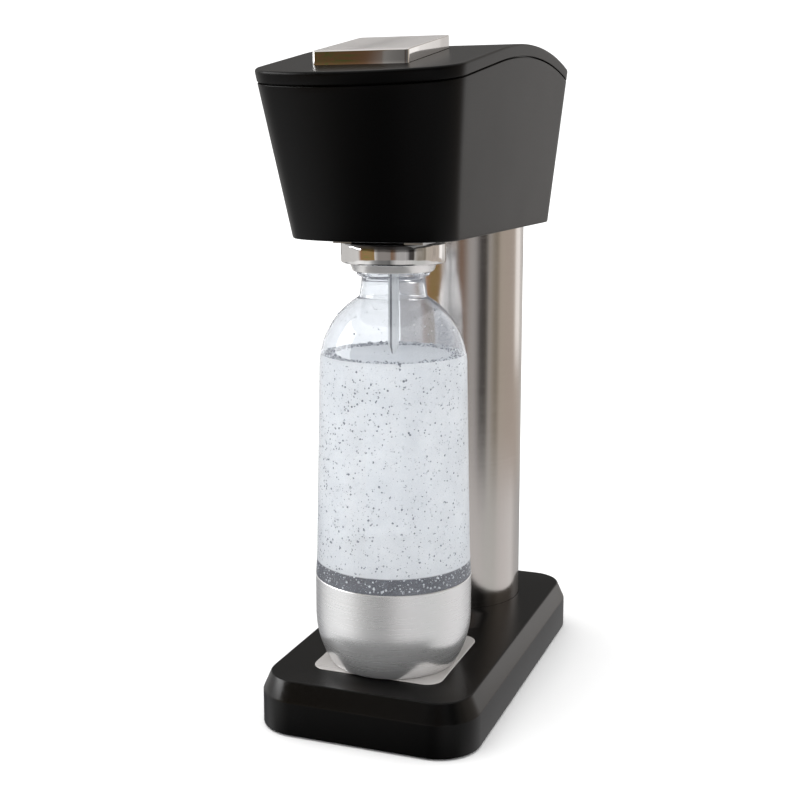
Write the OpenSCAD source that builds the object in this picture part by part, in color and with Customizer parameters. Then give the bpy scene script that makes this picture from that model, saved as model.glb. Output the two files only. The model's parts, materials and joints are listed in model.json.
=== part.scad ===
// Soda carbonator: a domed gas-water maker with a steel column, a black head
// and base, and a bottle that hangs in a chrome cap under the head.
// The origin is the middle of the footprint on the table, X to the right,
// Y to the back and Z up. All sizes are in millimetres.

/* [Base] */
// Width of the base
base_w = 126; // [112:1:160]
// Depth of the base
base_d = 236; // [220:1:290]
// Height of the base's top above the table
base_h = 30.2; // [26:0.1:40]
// Height of the upright side of the base
base_side_h = 19.8; // [14:0.1:22]
// How far the chamfer leans in over its height
base_chamfer = 4.6; // [2:0.1:8]
// Corner radius of the base in plan
base_corner_r = 24; // [14:0.5:30]
// Wall of the base shell
base_wall = 3; // [2:0.1:4]
// Thickness of the plate that closes the base
base_plate_t = 2.5; // [2:0.1:4]
// How far the rubber feet stand below the base
foot_h = 1; // [0.6:0.1:2]
// Radius of a rubber foot
foot_r = 7; // [5:0.5:9]

/* [Drip tray] */
// Width of the steel tray plate
tray_w = 75.6; // [66:0.2:90]
// Depth of the steel tray plate
tray_d = 76; // [70:0.5:86]
// Distance of the tray's middle in front of the base's middle
tray_front = 54; // [50:0.5:60]
// Corner radius of the tray plate
tray_corner_r = 9; // [4:0.5:14]
// Thickness of the tray plate
tray_t = 1.5; // [1:0.1:2]
// How far the tray stands above the base
tray_proud = 0.4; // [0.2:0.1:1]

/* [Column] */
// Outer radius of the column
col_r = 38.8; // [37.5:0.1:46]
// Wall of the column tube
col_wall = 1.2; // [0.8:0.1:2]
// Distance of the column behind the base's middle
col_back = 64.3; // [60:0.1:72]

/* [Gas cylinder] */
// Radius of the gas cylinder
cyl_r = 30; // [28:0.5:31]
// Height of the gas cylinder's top above the head's underside
cyl_rise = 65.5; // [58:0.5:68]
// Radius of the cylinder valve's screwed nose
nose_r = 10.5; // [9:0.1:12]

/* [Head] */
// Height of the head's underside above the table
head_z = 270.3; // [225:0.1:330]
// Height of the front face of the head
head_front_h = 83.4; // [74:0.1:100]
// Width of the head along its top front edge
head_w = 111.8; // [104:0.2:130]
// How far the head stands out in front of the base
head_overhang = 19; // [10:0.5:30]
// How far the head's back stays inside the base's back
head_back_gap = 3.5; // [0:0.5:8]
// How much each side leans in for each millimetre down
side_lean = 0.12; // [0.05:0.01:0.15]
// How much the front leans back for each millimetre down
front_lean = 0.27; // [0.1:0.01:0.3]
// How far the front bows out between its corners
front_bow = 18; // [8:0.5:24]
// Radius of the head's front corners
front_corner_r = 25; // [12:0.5:27]
// Radius of the head's back corners
back_corner_r = 14; // [6:0.5:20]
// Rise of the sloping top, in degrees
top_slope = 10.2; // [6:0.1:12]
// Distance in front of the base's middle where the slope turns into the hump
hump_start = 50; // [40:1:60]
// Radius of the hump
hump_r = 400; // [350:5:600]
// Wall of the head's shells
head_wall = 2.4; // [1.8:0.1:3]
// Height of the lid's edge
lid_edge = 6.6; // [4:0.1:10]
// Shadow gap between lid and housing
lid_gap = 0.8; // [0.4:0.1:1.2]
// Thickness of the head's floor
floor_t = 3; // [2:0.1:4]

/* [Button] */
// Width of the chrome button
button_w = 52.2; // [40:0.2:60]
// Length of the chrome button along the slope's plan
button_len = 65.7; // [50:0.5:70]
// How far the button stands above the lid
button_up = 7; // [6.5:0.1:9]
// Travel of the button
button_travel = 6; // [3:0.5:6]
// Distance of the button's front behind the head's front edge
button_setback = 29.5; // [26:0.5:40]
// Clearance round the button in the lid
button_gap = 0.6; // [0.4:0.1:1]
// Wall of the chrome button
button_wall = 1.4; // [1:0.1:2]
// Radius of the button's stem
stem_r = 5; // [4:0.1:6]

/* [Bottle] */
// Distance of the bottle in front of the base's middle
bottle_front = 59; // [55:0.5:64]
// Radius of the bottle's body where it meets the cup
bottle_r = 43; // [38:0.2:46]
// Radius of the bottle's body under the shoulder
bottle_top_r = 41; // [36:0.2:44]
// Wall of the bottle
bottle_wall = 1; // [0.6:0.1:1.5]
// Radius of the neck under the neck ring
neck_r = 16.6; // [15:0.1:17]
// Radius where the neck meets the shoulder
shoulder_r = 20; // [18.5:0.1:24]
// Wall of the neck
neck_wall = 1.8; // [1.4:0.1:2.2]
// Radius of the neck ring
neck_ring_r = 20.1; // [19:0.1:22]
// Height of the domed shoulder
dome_h = 38; // [30:0.5:46]
// Height of the neck between shoulder and neck ring
neck_h = 12.5; // [8:0.5:16]
// Height of the steel cup
cup_h = 50; // [40:0.5:60]
// Wall of the steel cup
cup_wall = 1; // [0.6:0.1:1.4]
// Radius of the cup's flat foot
cup_foot_r = 36; // [28:0.5:38]
// Radius of the cup at its widest
cup_r = 44; // [43.2:0.1:48]
// Clearance under the bottle's foot
bottle_lift = 0.3; // [0.2:0.1:1]

/* [Cap] */
// Radius of the fluted grip ring
ring_r = 28.8; // [26:0.2:30]
// Height of the fluted grip ring
ring_h = 9.8; // [8:0.1:12]
// Number of flutes in the grip ring
flute_count = 24; // [12:1:36]
// Radius of one flute
flute_r = 4; // [3:0.1:6]
// Depth of one flute
flute_depth = 0.6; // [0.3:0.1:1]
// Radius of the skirt under the ring
skirt_r = 24.2; // [23:0.1:25]
// Radius of the skirt's lower edge
skirt_end_r = 21.2; // [20.8:0.1:22]
// Height of the skirt
skirt_h = 6; // [4:0.1:8]
// Radius of the carbonating tube
tube_r = 3; // [2:0.1:4]
// Length of tube below the cap's core
tube_len = 58; // [40:1:90]

/* [Clearances] */
// Gap round a part that turns or slides freely
free_gap = 0.3; // [0.2:0.05:0.5]
// Radial play of a shaft in its bearing
run_gap = 0.08; // [0.03:0.01:0.1]
// Gap round a part that is dropped in and stays
seat_gap = 0.2; // [0.1:0.05:0.4]

/* [Hidden] */
$fn = 96;
eps = 0.01;

// plan positions
base_y = head_overhang / 2;
col_y = base_y + col_back;
bottle_y = base_y - bottle_front;
base_back = base_y + base_d / 2;
head_front = base_y - base_d / 2 - head_overhang;
head_back = base_back - head_back_gap;

// heights of the head
front_z = head_z + head_front_h;
slope_t = tan(top_slope);
hump_y = base_y - hump_start;
hump_z = front_z + slope_t * (hump_y - head_front);
hump_cy = hump_y + hump_r * sin(top_slope);
hump_cz = hump_z - hump_r * cos(top_slope);
loft_top = hump_cz + hump_r + 6;
hump_fn = 256;

function slope_z(y) = front_z + slope_t * (y - head_front);
function top_z(y) = y < hump_y ? slope_z(y) : hump_cz + sqrt(hump_r * hump_r - pow(y - hump_cy, 2));
function half_w(z) = head_w / 2 - side_lean * (front_z - z);
function front_y(z) = head_front + front_lean * (front_z - z);

// points of an arc about a centre, from angle a to angle b
function arc(cx, cy, r, a, b, n) = [for (i = [0:n]) [cx + r * cos(a + (b - a) * i / n), cy + r * sin(a + (b - a) * i / n)]];

// plan of the head at a height, drawn in by a wall thickness
function head_plan(z, wall) =
    let (
        w = half_w(z) - wall,
        f = front_y(z) + wall,
        b = head_back - wall,
        rf = front_corner_r - wall,
        rb = back_corner_r - wall,
        bow_r = (pow(half_w(z), 2) + pow(front_bow, 2)) / (2 * front_bow) - wall,
        cx = w - rf,
        cy = f + bow_r - sqrt(pow(bow_r - rf, 2) - cx * cx),
        turn = asin(cx / (bow_r - rf))
    )
    concat(
        arc(0, f + bow_r, bow_r, -90 - turn, -90 + turn, 14),
        [for (p = arc(cx, cy, rf, -90 + turn, 0, 8)) if (p[0] > cx) p],
        arc(w - rb, b - rb, rb, 0, 90, 7),
        arc(rb - w, b - rb, rb, 90, 180, 7),
        [for (p = arc(-cx, cy, rf, 180, 270 - turn, 8)) if (p[0] < -cx) p]
    );

// solid between two outlines with the same number of points
module loft(low, low_z, high, high_z) {
    n = len(low);
    polyhedron(
        points = concat([for (p = low) [p[0], p[1], low_z]], [for (p = high) [p[0], p[1], high_z]]),
        faces = concat(
            [[for (i = [0:n - 1]) i]],
            [[for (i = [0:n - 1]) 2 * n - 1 - i]],
            [for (i = [0:n - 1]) [i, n + i, (i + 1) % n]],
            [for (i = [0:n - 1]) [n + i, n + (i + 1) % n, (i + 1) % n]]
        )
    );
}

module head_block(z0, z1, wall) {
    loft(head_plan(z0, wall), z0, head_plan(z1, wall), z1);
}

// everything below the head's top surface, lowered by an amount
module below_top(drop) {
    reach = head_w;
    low = head_z - 20;
    translate([-reach, 0, 0])
        rotate([90, 0, 90])
            linear_extrude(2 * reach)
                union() {
                    polygon([
                        [head_front - 10, low],
                        [hump_y, low],
                        [hump_y, hump_z - drop],
                        [head_front - 10, slope_z(head_front - 10) - drop]
                    ]);
                    intersection() {
                        translate([hump_cy, hump_cz - drop]) circle(hump_r, $fn = hump_fn);
                        translate([hump_y - eps, low]) square([base_back + 10 - hump_y, loft_top]);
                    }
                }
}

module rounded_plan(w, d, r) {
    square([w - 2 * r, d], center = true);
    square([w, d - 2 * r], center = true);
    for (sx = [-1, 1]) for (sy = [-1, 1])
        translate([sx * (w / 2 - r), sy * (d / 2 - r)]) circle(r);
}

module ring(r_out, r_in, h) {
    difference() {
        cylinder(r = r_out, h = h);
        translate([0, 0, -1]) cylinder(r = r_in, h = h + 2);
    }
}

module at_column() { translate([0, col_y, 0]) children(); }
module at_bottle() { translate([0, bottle_y, 0]) children(); }
module at_base() { translate([0, base_y, 0]) children(); }
module at_tray() { translate([0, base_y - tray_front, 0]) children(); }

// coil of wire, swept as a closed tube
module coil(r, wire, h, turns) {
    sides = 6;
    steps = turns * 18;
    pitch = (h - wire) / turns;
    polyhedron(
        points = [for (i = [0:steps]) for (k = [0:sides - 1])
            let (a = 360 * i / 18, q = 360 * k / sides, rr = r + wire / 2 * cos(q))
            [rr * cos(a), rr * sin(a), wire / 2 + pitch * i / 18 + wire / 2 * sin(q)]],
        faces = concat(
            [[for (k = [0:sides - 1]) sides - 1 - k]],
            [[for (k = [0:sides - 1]) steps * sides + k]],
            [for (i = [0:steps - 1]) for (k = [0:sides - 1])
                [i * sides + k, i * sides + (k + 1) % sides, (i + 1) * sides + k]],
            [for (i = [0:steps - 1]) for (k = [0:sides - 1])
                [i * sides + (k + 1) % sides, (i + 1) * sides + (k + 1) % sides, (i + 1) * sides + k]]
        )
    );
}

// pan-headed screw that points down, with its head's underside at z = 0
module screw(r, len, head_r, head_h) {
    translate([0, 0, -len]) cylinder(r = r, h = len + eps, $fn = 32);
    difference() {
        cylinder(r = head_r, h = head_h, $fn = 32);
        translate([0, 0, head_h / 2]) cylinder(r = head_r / 2, h = head_h, $fn = 6);
    }
}

// ---- base ----
base_z = foot_h;
plate_top = base_z + base_plate_t;
base_inner_top = base_h - base_wall;
base_screw_r = 1.6;
base_screw_len = 12;
hole_gap = 0.05;
base_boss_r = 4.5;
base_boss_in = 15;
socket_r = col_r + 7;
socket_screw_r = 1.6;
socket_pcd_r = col_r + 4.6;
hatch_r = cyl_r + 3.6;
hatch_t = base_plate_t;
lug_r = hatch_r + 3;
lug_angle = 16;
tube_z = base_z + 9;

function base_boss_at() = [
    for (sx = [-1, 1]) for (sy = [-1, 0.12, 1])
        [sx * (base_w / 2 - base_boss_in), sy * (base_d / 2 - base_boss_in)]
];

module base_outer() {
    translate([0, 0, base_z]) linear_extrude(base_side_h - base_z) rounded_plan(base_w, base_d, base_corner_r);
    hull() {
        translate([0, 0, base_side_h]) linear_extrude(eps) rounded_plan(base_w, base_d, base_corner_r, $fn = 48);
        translate([0, 0, base_h - eps])
            linear_extrude(eps)
                rounded_plan(base_w - 2 * base_chamfer, base_d - 2 * base_chamfer, base_corner_r - base_chamfer, $fn = 48);
    }
}

module base_shell() {
    color("#1c1b1c") difference() {
        union() {
            difference() {
                at_base() base_outer();
                at_base() translate([0, 0, base_z - 1])
                    linear_extrude(base_side_h - base_z + 1)
                        rounded_plan(base_w - 2 * base_wall, base_d - 2 * base_wall, base_corner_r - base_wall);
                at_base() translate([0, 0, base_side_h - eps])
                    linear_extrude(base_inner_top - base_side_h + eps)
                        rounded_plan(
                            base_w - 2 * base_wall - 2 * base_chamfer,
                            base_d - 2 * base_wall - 2 * base_chamfer,
                            base_corner_r - base_wall - base_chamfer
                        );
            }
            at_base() for (p = base_boss_at())
                translate([p[0], p[1], plate_top + seat_gap]) cylinder(r = base_boss_r, h = base_inner_top - plate_top);
        }
        at_column() translate([0, 0, base_z]) cylinder(r = col_r + seat_gap, h = base_h);
        at_tray() translate([0, 0, base_h - tray_t + tray_proud])
            linear_extrude(tray_t + 1) rounded_plan(tray_w + 2 * seat_gap, tray_d + 2 * seat_gap, tray_corner_r + seat_gap);
        at_base() for (p = base_boss_at())
            translate([p[0], p[1], base_z]) cylinder(r = base_screw_r + hole_gap, h = base_screw_len + 1, $fn = 32);
        at_column() for (p = socket_screw_at())
            translate([p[0], p[1], base_inner_top - 1])
                cylinder(r = socket_screw_r + hole_gap, h = socket_bite + 1, $fn = 32);
    }
}

module base_plate() {
    inset = base_wall + seat_gap;
    color("#242324") difference() {
        at_base() translate([0, 0, base_z])
            linear_extrude(base_plate_t) rounded_plan(base_w - 2 * inset, base_d - 2 * inset, base_corner_r - inset);
        at_column() translate([0, 0, base_z - 1]) {
            cylinder(r = hatch_r + free_gap, h = base_plate_t + 2);
            intersection() {
                cylinder(r = lug_r + free_gap, h = base_plate_t + 2);
                linear_extrude(base_plate_t + 2) lug_sectors(60, lug_angle + 3);
            }
        }
        at_base() for (p = base_boss_at())
            translate([p[0], p[1], base_z - 1]) cylinder(r = base_screw_r + seat_gap, h = base_plate_t + 2, $fn = 32);
    }
}

// three sectors that reach past the hatch's lugs
module lug_sectors(turn, half) {
    reach = lug_r + 6;
    for (i = [0:2]) rotate(turn + 120 * i)
        polygon([[0, 0], [reach * cos(half), -reach * sin(half)], [reach * cos(half), reach * sin(half)]]);
}

function foot_at() = [
    for (sx = [-1, 1]) for (sy = [-1, 1])
        [sx * (base_w / 2 - base_boss_in - 3), base_y + sy * (base_d / 2 - base_boss_in - 16)]
];

module rubber_feet() {
    color("#101010") for (p = foot_at())
        translate([p[0], p[1], 0]) cylinder(r = foot_r, h = foot_h);
}

module base_screws() {
    color("silver") at_base() for (p = base_boss_at())
        translate([p[0], p[1], base_z]) mirror([0, 0, 1]) screw(base_screw_r, base_screw_len, 2.8, foot_h * 0.6);
}

module drip_tray() {
    color("#b9b6b2") at_tray() translate([0, 0, base_h - tray_t + tray_proud])
        linear_extrude(tray_t) rounded_plan(tray_w, tray_d, tray_corner_r);
}

// ---- column ----
tube_top = head_z + 20;
socket_z = base_z + 8;
socket_floor_t = 2.5;
socket_flange_t = 2.5;
socket_bite = base_wall - 0.8;

module column_tube() {
    color("#c9c5c0") at_column() translate([0, 0, socket_z + socket_floor_t])
        ring(col_r, col_r - col_wall, tube_top - socket_z - socket_floor_t);
}

function socket_screw_at() = [for (a = [45:90:315]) [socket_pcd_r * cos(a), socket_pcd_r * sin(a)]];

module column_socket() {
    wall_r = col_r + 2;
    color("#3a3a3c") at_column() difference() {
        union() {
            translate([0, 0, socket_z]) cylinder(r = wall_r, h = base_inner_top - socket_z);
            translate([0, 0, base_inner_top - socket_flange_t]) cylinder(r = socket_r, h = socket_flange_t);
        }
        translate([0, 0, socket_z - 1]) cylinder(r = col_r - col_wall - 1.2, h = base_h);
        translate([0, 0, socket_z + socket_floor_t]) cylinder(r = col_r + run_gap, h = base_h);
        for (p = socket_screw_at())
            translate([p[0], p[1], base_inner_top - socket_flange_t - 1])
                cylinder(r = socket_screw_r + seat_gap, h = socket_flange_t + 2, $fn = 32);
    }
}

module socket_screws() {
    color("silver") at_column() for (p = socket_screw_at())
        translate([p[0], p[1], base_inner_top - socket_flange_t])
            mirror([0, 0, 1]) screw(socket_screw_r, socket_flange_t + socket_bite - 0.2, 2.3, 1.4);
}

// ---- hatch under the base ----
pad_top = plate_top + 6;
lug_t = 2;

module cylinder_hatch() {
    color("#2b2a2b") at_column() difference() {
        union() {
            translate([0, 0, base_z]) cylinder(r = hatch_r, h = hatch_t + free_gap + lug_t);
            translate([0, 0, plate_top + free_gap])
                intersection() {
                    cylinder(r = lug_r, h = lug_t);
                    linear_extrude(lug_t) lug_sectors(0, lug_angle);
                }
        }
        translate([0, 0, base_z - 1]) difference() {
            cylinder(r = hatch_r - 8, h = 2.6);
            translate([-hatch_r, -3, -1]) cube([2 * hatch_r, 6, 5]);
        }
    }
}

module hatch_pad() {
    pad_z = plate_top + free_gap + lug_t;
    color("#151515") at_column() translate([0, 0, pad_z]) cylinder(r = cyl_r - 6, h = pad_top - pad_z);
}

// ---- gas cylinder ----
cyl_z = pad_top + free_gap;
cyl_top = head_z + cyl_rise;
neck_cyl_r = 13;
nose_len = 14;
valve_h = 20;
nose_z = cyl_top - nose_len;
valve_z = nose_z - valve_h;
cyl_dome_r = 24;
pin_r = 2;
pin_hole_r = pin_r + run_gap;
pin_low = nose_z - 6;
pin_up = 2;

module gas_cylinder() {
    body_top = valve_z - cyl_dome_r + 5;
    color("#5f7f9a") at_column() rotate_extrude()
        polygon(concat(
            [[0, cyl_z + 3], [16, cyl_z + 3], [20, cyl_z]],
            arc(cyl_r - 6, cyl_z + 6, 6, -90, 0, 6),
            arc(cyl_r - cyl_dome_r + 6, body_top - cyl_dome_r + 6, cyl_dome_r - 6, 0, 60, 8),
            [[neck_cyl_r, valve_z - 4], [neck_cyl_r, valve_z], [0, valve_z]]
        ));
}

module cylinder_valve() {
    color("#b8923e") at_column() difference() {
        union() {
            translate([0, 0, valve_z]) cylinder(r = neck_cyl_r, h = valve_h - 4);
            translate([0, 0, valve_z]) cylinder(r = nose_r - 1.5, h = valve_h + 1);
            translate([0, 0, nose_z]) cylinder(r = nose_r, h = nose_len);
        }
        translate([0, 0, pin_low]) cylinder(r = pin_hole_r, h = nose_len + 8);
        translate([0, 0, cyl_top - 3]) cylinder(r = 5, h = 4);
    }
}

module cylinder_seal() {
    color("#181818") at_column() translate([0, 0, cyl_top - 3]) ring(4.9, 3.2, 2.4);
}

module cylinder_pin() {
    travel = pin_travel + 0.4;
    color("#d0cec8") at_column() translate([0, 0, pin_low + travel])
        cylinder(r = pin_r, h = cyl_top + pin_up - pin_low - travel);
}

// ---- lever geometry ----
pivot_back = 32.7;
pivot_y = col_y + pivot_back;
pivot_r = 2.5;
boss_r = 5.5;
bar_h = 6;
button_y0 = head_front + button_setback;
stem_y = button_y0 + button_len / 2;
lever_t = 8;
pad_h = 5;
lever_pad_z = head_z + 51;
lever_arm = pivot_y - stem_y;
pin_travel = button_travel * pivot_back / lever_arm;
block_z = nose_z - 2;
block_top = cyl_top + 7;
pin_head_z = block_top + 5;
lever_under_z = pin_head_z + free_gap;
pivot_z = lever_under_z + 4;
hose_z = cyl_top + 2.4;
hose_x = -11;

// ---- valve block ----
block_w = 34;
block_d = 36;
hose_bore_r = 1.6;
frame_screw_r = 1.5;
relief_r = 3;
relief_len = 5.8;

function block_screw_at() = [for (sy = [-1, 1]) [sy * 12.5, block_z + 7]];

module valve_block() {
    color("#9a9ca0") at_column() difference() {
        translate([-block_w / 2, -block_d / 2, block_z]) cube([block_w, block_d, block_top - block_z]);
        translate([0, 0, block_z - 1]) cylinder(r = nose_r + run_gap, h = cyl_top + 0.4 - block_z + 1);
        translate([0, 0, cyl_top - 1]) cylinder(r = pin_r + 1.5, h = 5);
        translate([0, 0, cyl_top]) cylinder(r = pin_hole_r, h = 40);
        translate([0, 0, block_top - 2]) cylinder(r = 6, h = 3);
        translate([hose_x, 0, hose_z]) rotate([90, 0, 0]) cylinder(r = hose_bore_r, h = block_d);
        translate([hose_x, 0, hose_z]) rotate([0, 90, 0]) cylinder(r = hose_bore_r, h = block_w);
        for (p = block_screw_at()) for (sx = [-1, 1])
            translate([sx * block_w / 2, p[0], p[1]]) rotate([0, -90 * sx, 0])
                translate([0, 0, -1]) cylinder(r = frame_screw_r + hole_gap, h = 7, $fn = 32);
        translate([block_w / 2 - relief_len - 0.2, 0, hose_z]) rotate([0, 90, 0]) cylinder(r = relief_r + hole_gap, h = 10);
    }
}

module valve_pin() {
    color("#d0cec8") at_column() {
        translate([0, 0, cyl_top + pin_up + free_gap]) cylinder(r = pin_r, h = pin_head_z - cyl_top - pin_up - free_gap);
        translate([0, 0, pin_head_z - 1.6]) cylinder(r = 4.4, h = 1.6);
    }
}

module pin_spring() {
    color("silver") at_column() translate([0, 0, block_top - 2 + free_gap])
        coil(3.6, 0.7, pin_head_z - 1.6 - block_top + 2 - 2 * free_gap, 3);
}

module relief_valve() {
    color("#b8923e") translate([block_w / 2, col_y, hose_z]) rotate([0, 90, 0]) {
        translate([0, 0, -relief_len]) cylinder(r = relief_r, h = relief_len + eps);
        cylinder(r = 5, h = 5, $fn = 6);
        translate([0, 0, 5 - eps]) cylinder(r = 3.2, h = 7);
    }
}

module press_lever() {
    rear_y = col_y - 8;
    front_y0 = stem_y + 8;
    color("#8d9094") difference() {
        union() {
            translate([-lever_t / 2, 0, 0]) rotate([90, 0, 90]) linear_extrude(lever_t) union() {
                translate([pivot_y, pivot_z]) circle(boss_r);
                polygon([
                    [pivot_y, lever_under_z],
                    [pivot_y, lever_under_z + bar_h],
                    [rear_y, lever_under_z + bar_h],
                    [front_y0, lever_pad_z],
                    [stem_y - 8, lever_pad_z],
                    [stem_y - 8, lever_pad_z - pad_h],
                    [front_y0, lever_pad_z - pad_h],
                    [rear_y, lever_under_z]
                ]);
            }
            translate([-lever_t, stem_y - 7, lever_pad_z - pad_h]) cube([2 * lever_t, 14, pad_h]);
        }
        translate([-lever_t, pivot_y, pivot_z]) rotate([0, 90, 0]) cylinder(r = pivot_r + run_gap, h = 2 * lever_t);
    }
}

module lever_pin() {
    span = block_w / 2 + frame_t;
    color("silver") translate([-span - 1.5, pivot_y, pivot_z]) rotate([0, 90, 0]) {
        cylinder(r = pivot_r, h = 2 * span + 3);
        cylinder(r = pivot_r + 1.5, h = 1.5);
        translate([0, 0, 2 * span + 1.5]) cylinder(r = pivot_r + 1.5, h = 1.5);
    }
}

// ---- head frame ----
frame_t = 2;
floor_top = head_z + floor_t;
bridge_z = tube_top;
bridge_t = 2.5;
guide_t = 4;
guide_z = lever_pad_z + button_travel + 3;
clamp_t = 3;
leg_half = 20;

module frame_side() {
    rotate([90, 0, 90]) linear_extrude(frame_t) difference() {
        polygon([
            [stem_y - leg_half, floor_top],
            [stem_y + leg_half + 8, floor_top],
            [stem_y + leg_half + 8, bridge_z],
            [pivot_y + 8, bridge_z],
            [pivot_y + 8, pivot_z + 6],
            [col_y - block_d / 2 - 4, pivot_z + 6],
            [stem_y + leg_half, guide_z + guide_t],
            [stem_y - leg_half, guide_z + guide_t]
        ]);
        translate([pivot_y, pivot_z]) circle(pivot_r + run_gap);
        translate([col_y, hose_z]) circle(6);
        for (p = block_screw_at()) translate([col_y + p[0], p[1]]) circle(frame_screw_r + seat_gap, $fn = 32);
    }
}

module head_frame() {
    color("#a8abae") {
        for (x = [-block_w / 2 - frame_t, block_w / 2]) translate([x, 0, 0]) frame_side();
        at_column() difference() {
            union() {
                translate([0, 0, floor_top]) cylinder(r = col_r + clamp_t, h = bridge_z - floor_top + eps);
                translate([0, 0, bridge_z]) cylinder(r = col_r + clamp_t, h = bridge_t);
            }
            translate([0, 0, floor_top - 1]) cylinder(r = col_r + run_gap, h = bridge_z - floor_top + 1);
            cylinder(r = cyl_r + 1.5, h = 2 * head_z);
        }
    }
}

module frame_screws() {
    color("silver") for (p = block_screw_at()) for (sx = [-1, 1])
        translate([sx * (block_w / 2 + frame_t), col_y + p[0], p[1]])
            rotate([0, 90 * sx, 0]) screw(frame_screw_r, frame_t + 5, 2.8, 1.6);
}

// ---- head shells ----
head_screw_r = 1.5;
boss_in = 3.6;
head_boss_r = 4.5;
head_boss_h = 14;
lip_t = 1.6;
lip_h = 3;

function head_boss_at() = [
    for (sx = [-1, 1]) for (y = [base_y - bottle_front, head_back - back_corner_r - 6])
        [sx * (half_w(head_z) - head_wall - boss_in), y]
];

module head_housing() {
    drop = lid_edge + lid_gap;
    color("#161516") difference() {
        union() {
            difference() {
                intersection() {
                    head_block(head_z, loft_top, 0);
                    below_top(drop);
                }
                head_block(head_z - 1, loft_top + 1, head_wall);
            }
            for (p = head_boss_at())
                translate([p[0], p[1], floor_top + seat_gap]) cylinder(r = head_boss_r, h = head_boss_h);
        }
        for (p = head_boss_at())
            translate([p[0], p[1], floor_top]) cylinder(r = head_screw_r + hole_gap, h = 9, $fn = 32);
    }
}

module button_pocket() {
    g = button_gap;
    translate([-button_w / 2 - g, button_y0 - g, head_z + head_front_h / 2])
        cube([button_w + 2 * g, button_len + 2 * g, head_front_h + 60]);
}

module head_lid() {
    color("#1b1a1b") difference() {
        union() {
            difference() {
                intersection() {
                    head_block(head_z, loft_top, 0);
                    below_top(0);
                }
                below_top(lid_edge);
                intersection() {
                    head_block(head_z, loft_top, head_wall);
                    below_top(head_wall);
                }
            }
            difference() {
                intersection() {
                    head_block(head_z, loft_top, head_wall + seat_gap);
                    below_top(head_wall - eps);
                }
                below_top(lid_edge + lip_h);
                head_block(head_z - 1, loft_top + 1, head_wall + seat_gap + lip_t);
            }
        }
        button_pocket();
    }
}

module head_floor() {
    color("#191819") difference() {
        translate([0, 0, head_z]) linear_extrude(floor_t) polygon(head_plan(head_z, head_wall + seat_gap));
        at_column() cylinder(r = col_r + seat_gap, h = 2 * head_z);
        at_bottle() cylinder(r = coupling_r + seat_gap, h = 2 * head_z);
        for (p = head_boss_at()) translate([p[0], p[1], head_z - 1]) {
            cylinder(r = head_screw_r + seat_gap, h = floor_t + 2, $fn = 32);
            cylinder(r = 3, h = 2.6, $fn = 32);
        }
    }
}

module head_screws() {
    color("silver") for (p = head_boss_at())
        translate([p[0], p[1], head_z + 1.6]) mirror([0, 0, 1]) screw(head_screw_r, 9, 2.7, 1.4);
}

// ---- button ----
seat_z = guide_z + guide_t + 24;

// solid whose top is parallel to the head's slope, from low to high above it
module slope_slab(w, y0, y1, low, high) {
    translate([-w / 2, 0, 0]) rotate([90, 0, 90]) linear_extrude(w) polygon([
        [y0, slope_z(y0) + low],
        [y1, slope_z(y1) + low],
        [y1, slope_z(y1) + high],
        [y0, slope_z(y0) + high]
    ]);
}

module push_button() {
    t = button_wall;
    skirt = -button_travel - 2.5;
    color("#d8d6d4") difference() {
        slope_slab(button_w, button_y0, button_y0 + button_len, skirt, button_up);
        slope_slab(button_w - 2 * t, button_y0 + t, button_y0 + button_len - t, skirt - 5, button_up - t);
    }
}

module button_carrier() {
    t = button_wall;
    inner_w = button_w - 2 * t;
    color("#202020") {
        slope_slab(inner_w, button_y0 + t, button_y0 + button_len - t, button_up - t - 3, button_up - t);
        translate([0, stem_y, seat_z]) cylinder(r = stem_r + 4, h = slope_z(stem_y) + button_up - t - 2 - seat_z);
        translate([0, stem_y, lever_pad_z + free_gap]) cylinder(r = stem_r, h = seat_z - lever_pad_z);
    }
}

module button_guide() {
    color("#303133") translate([0, stem_y, guide_z]) difference() {
        translate([-block_w / 2, -leg_half + 4, 0]) cube([block_w, 2 * leg_half - 8, guide_t]);
        translate([0, 0, -1]) cylinder(r = stem_r + run_gap, h = guide_t + 2);
    }
}

module button_spring() {
    color("silver") translate([0, stem_y, guide_z + guide_t + free_gap])
        coil(stem_r + 1.8, 1, seat_z - guide_z - guide_t - 2 * free_gap, 7);
}

// ---- gas line ----
coupling_r = 14;
coupling_z = head_z + 0.4;
coupling_h = 26;
inlet_z = head_z + 18;
hose_r = 3;
hose_start = [hose_x, col_y - block_d / 2, hose_z];
hose_end = [0, bottle_y + coupling_r, inlet_z];
hose_steps = 26;

function bezier(a, b, c, d, t) =
    pow(1 - t, 3) * a + 3 * t * pow(1 - t, 2) * b + 3 * t * t * (1 - t) * c + t * t * t * d;
function hose_at(t) = bezier(hose_start, hose_start - [0, 36, 0], hose_end + [0, 36, 0], hose_end, t);
function unit(v) = v / norm(v);

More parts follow.
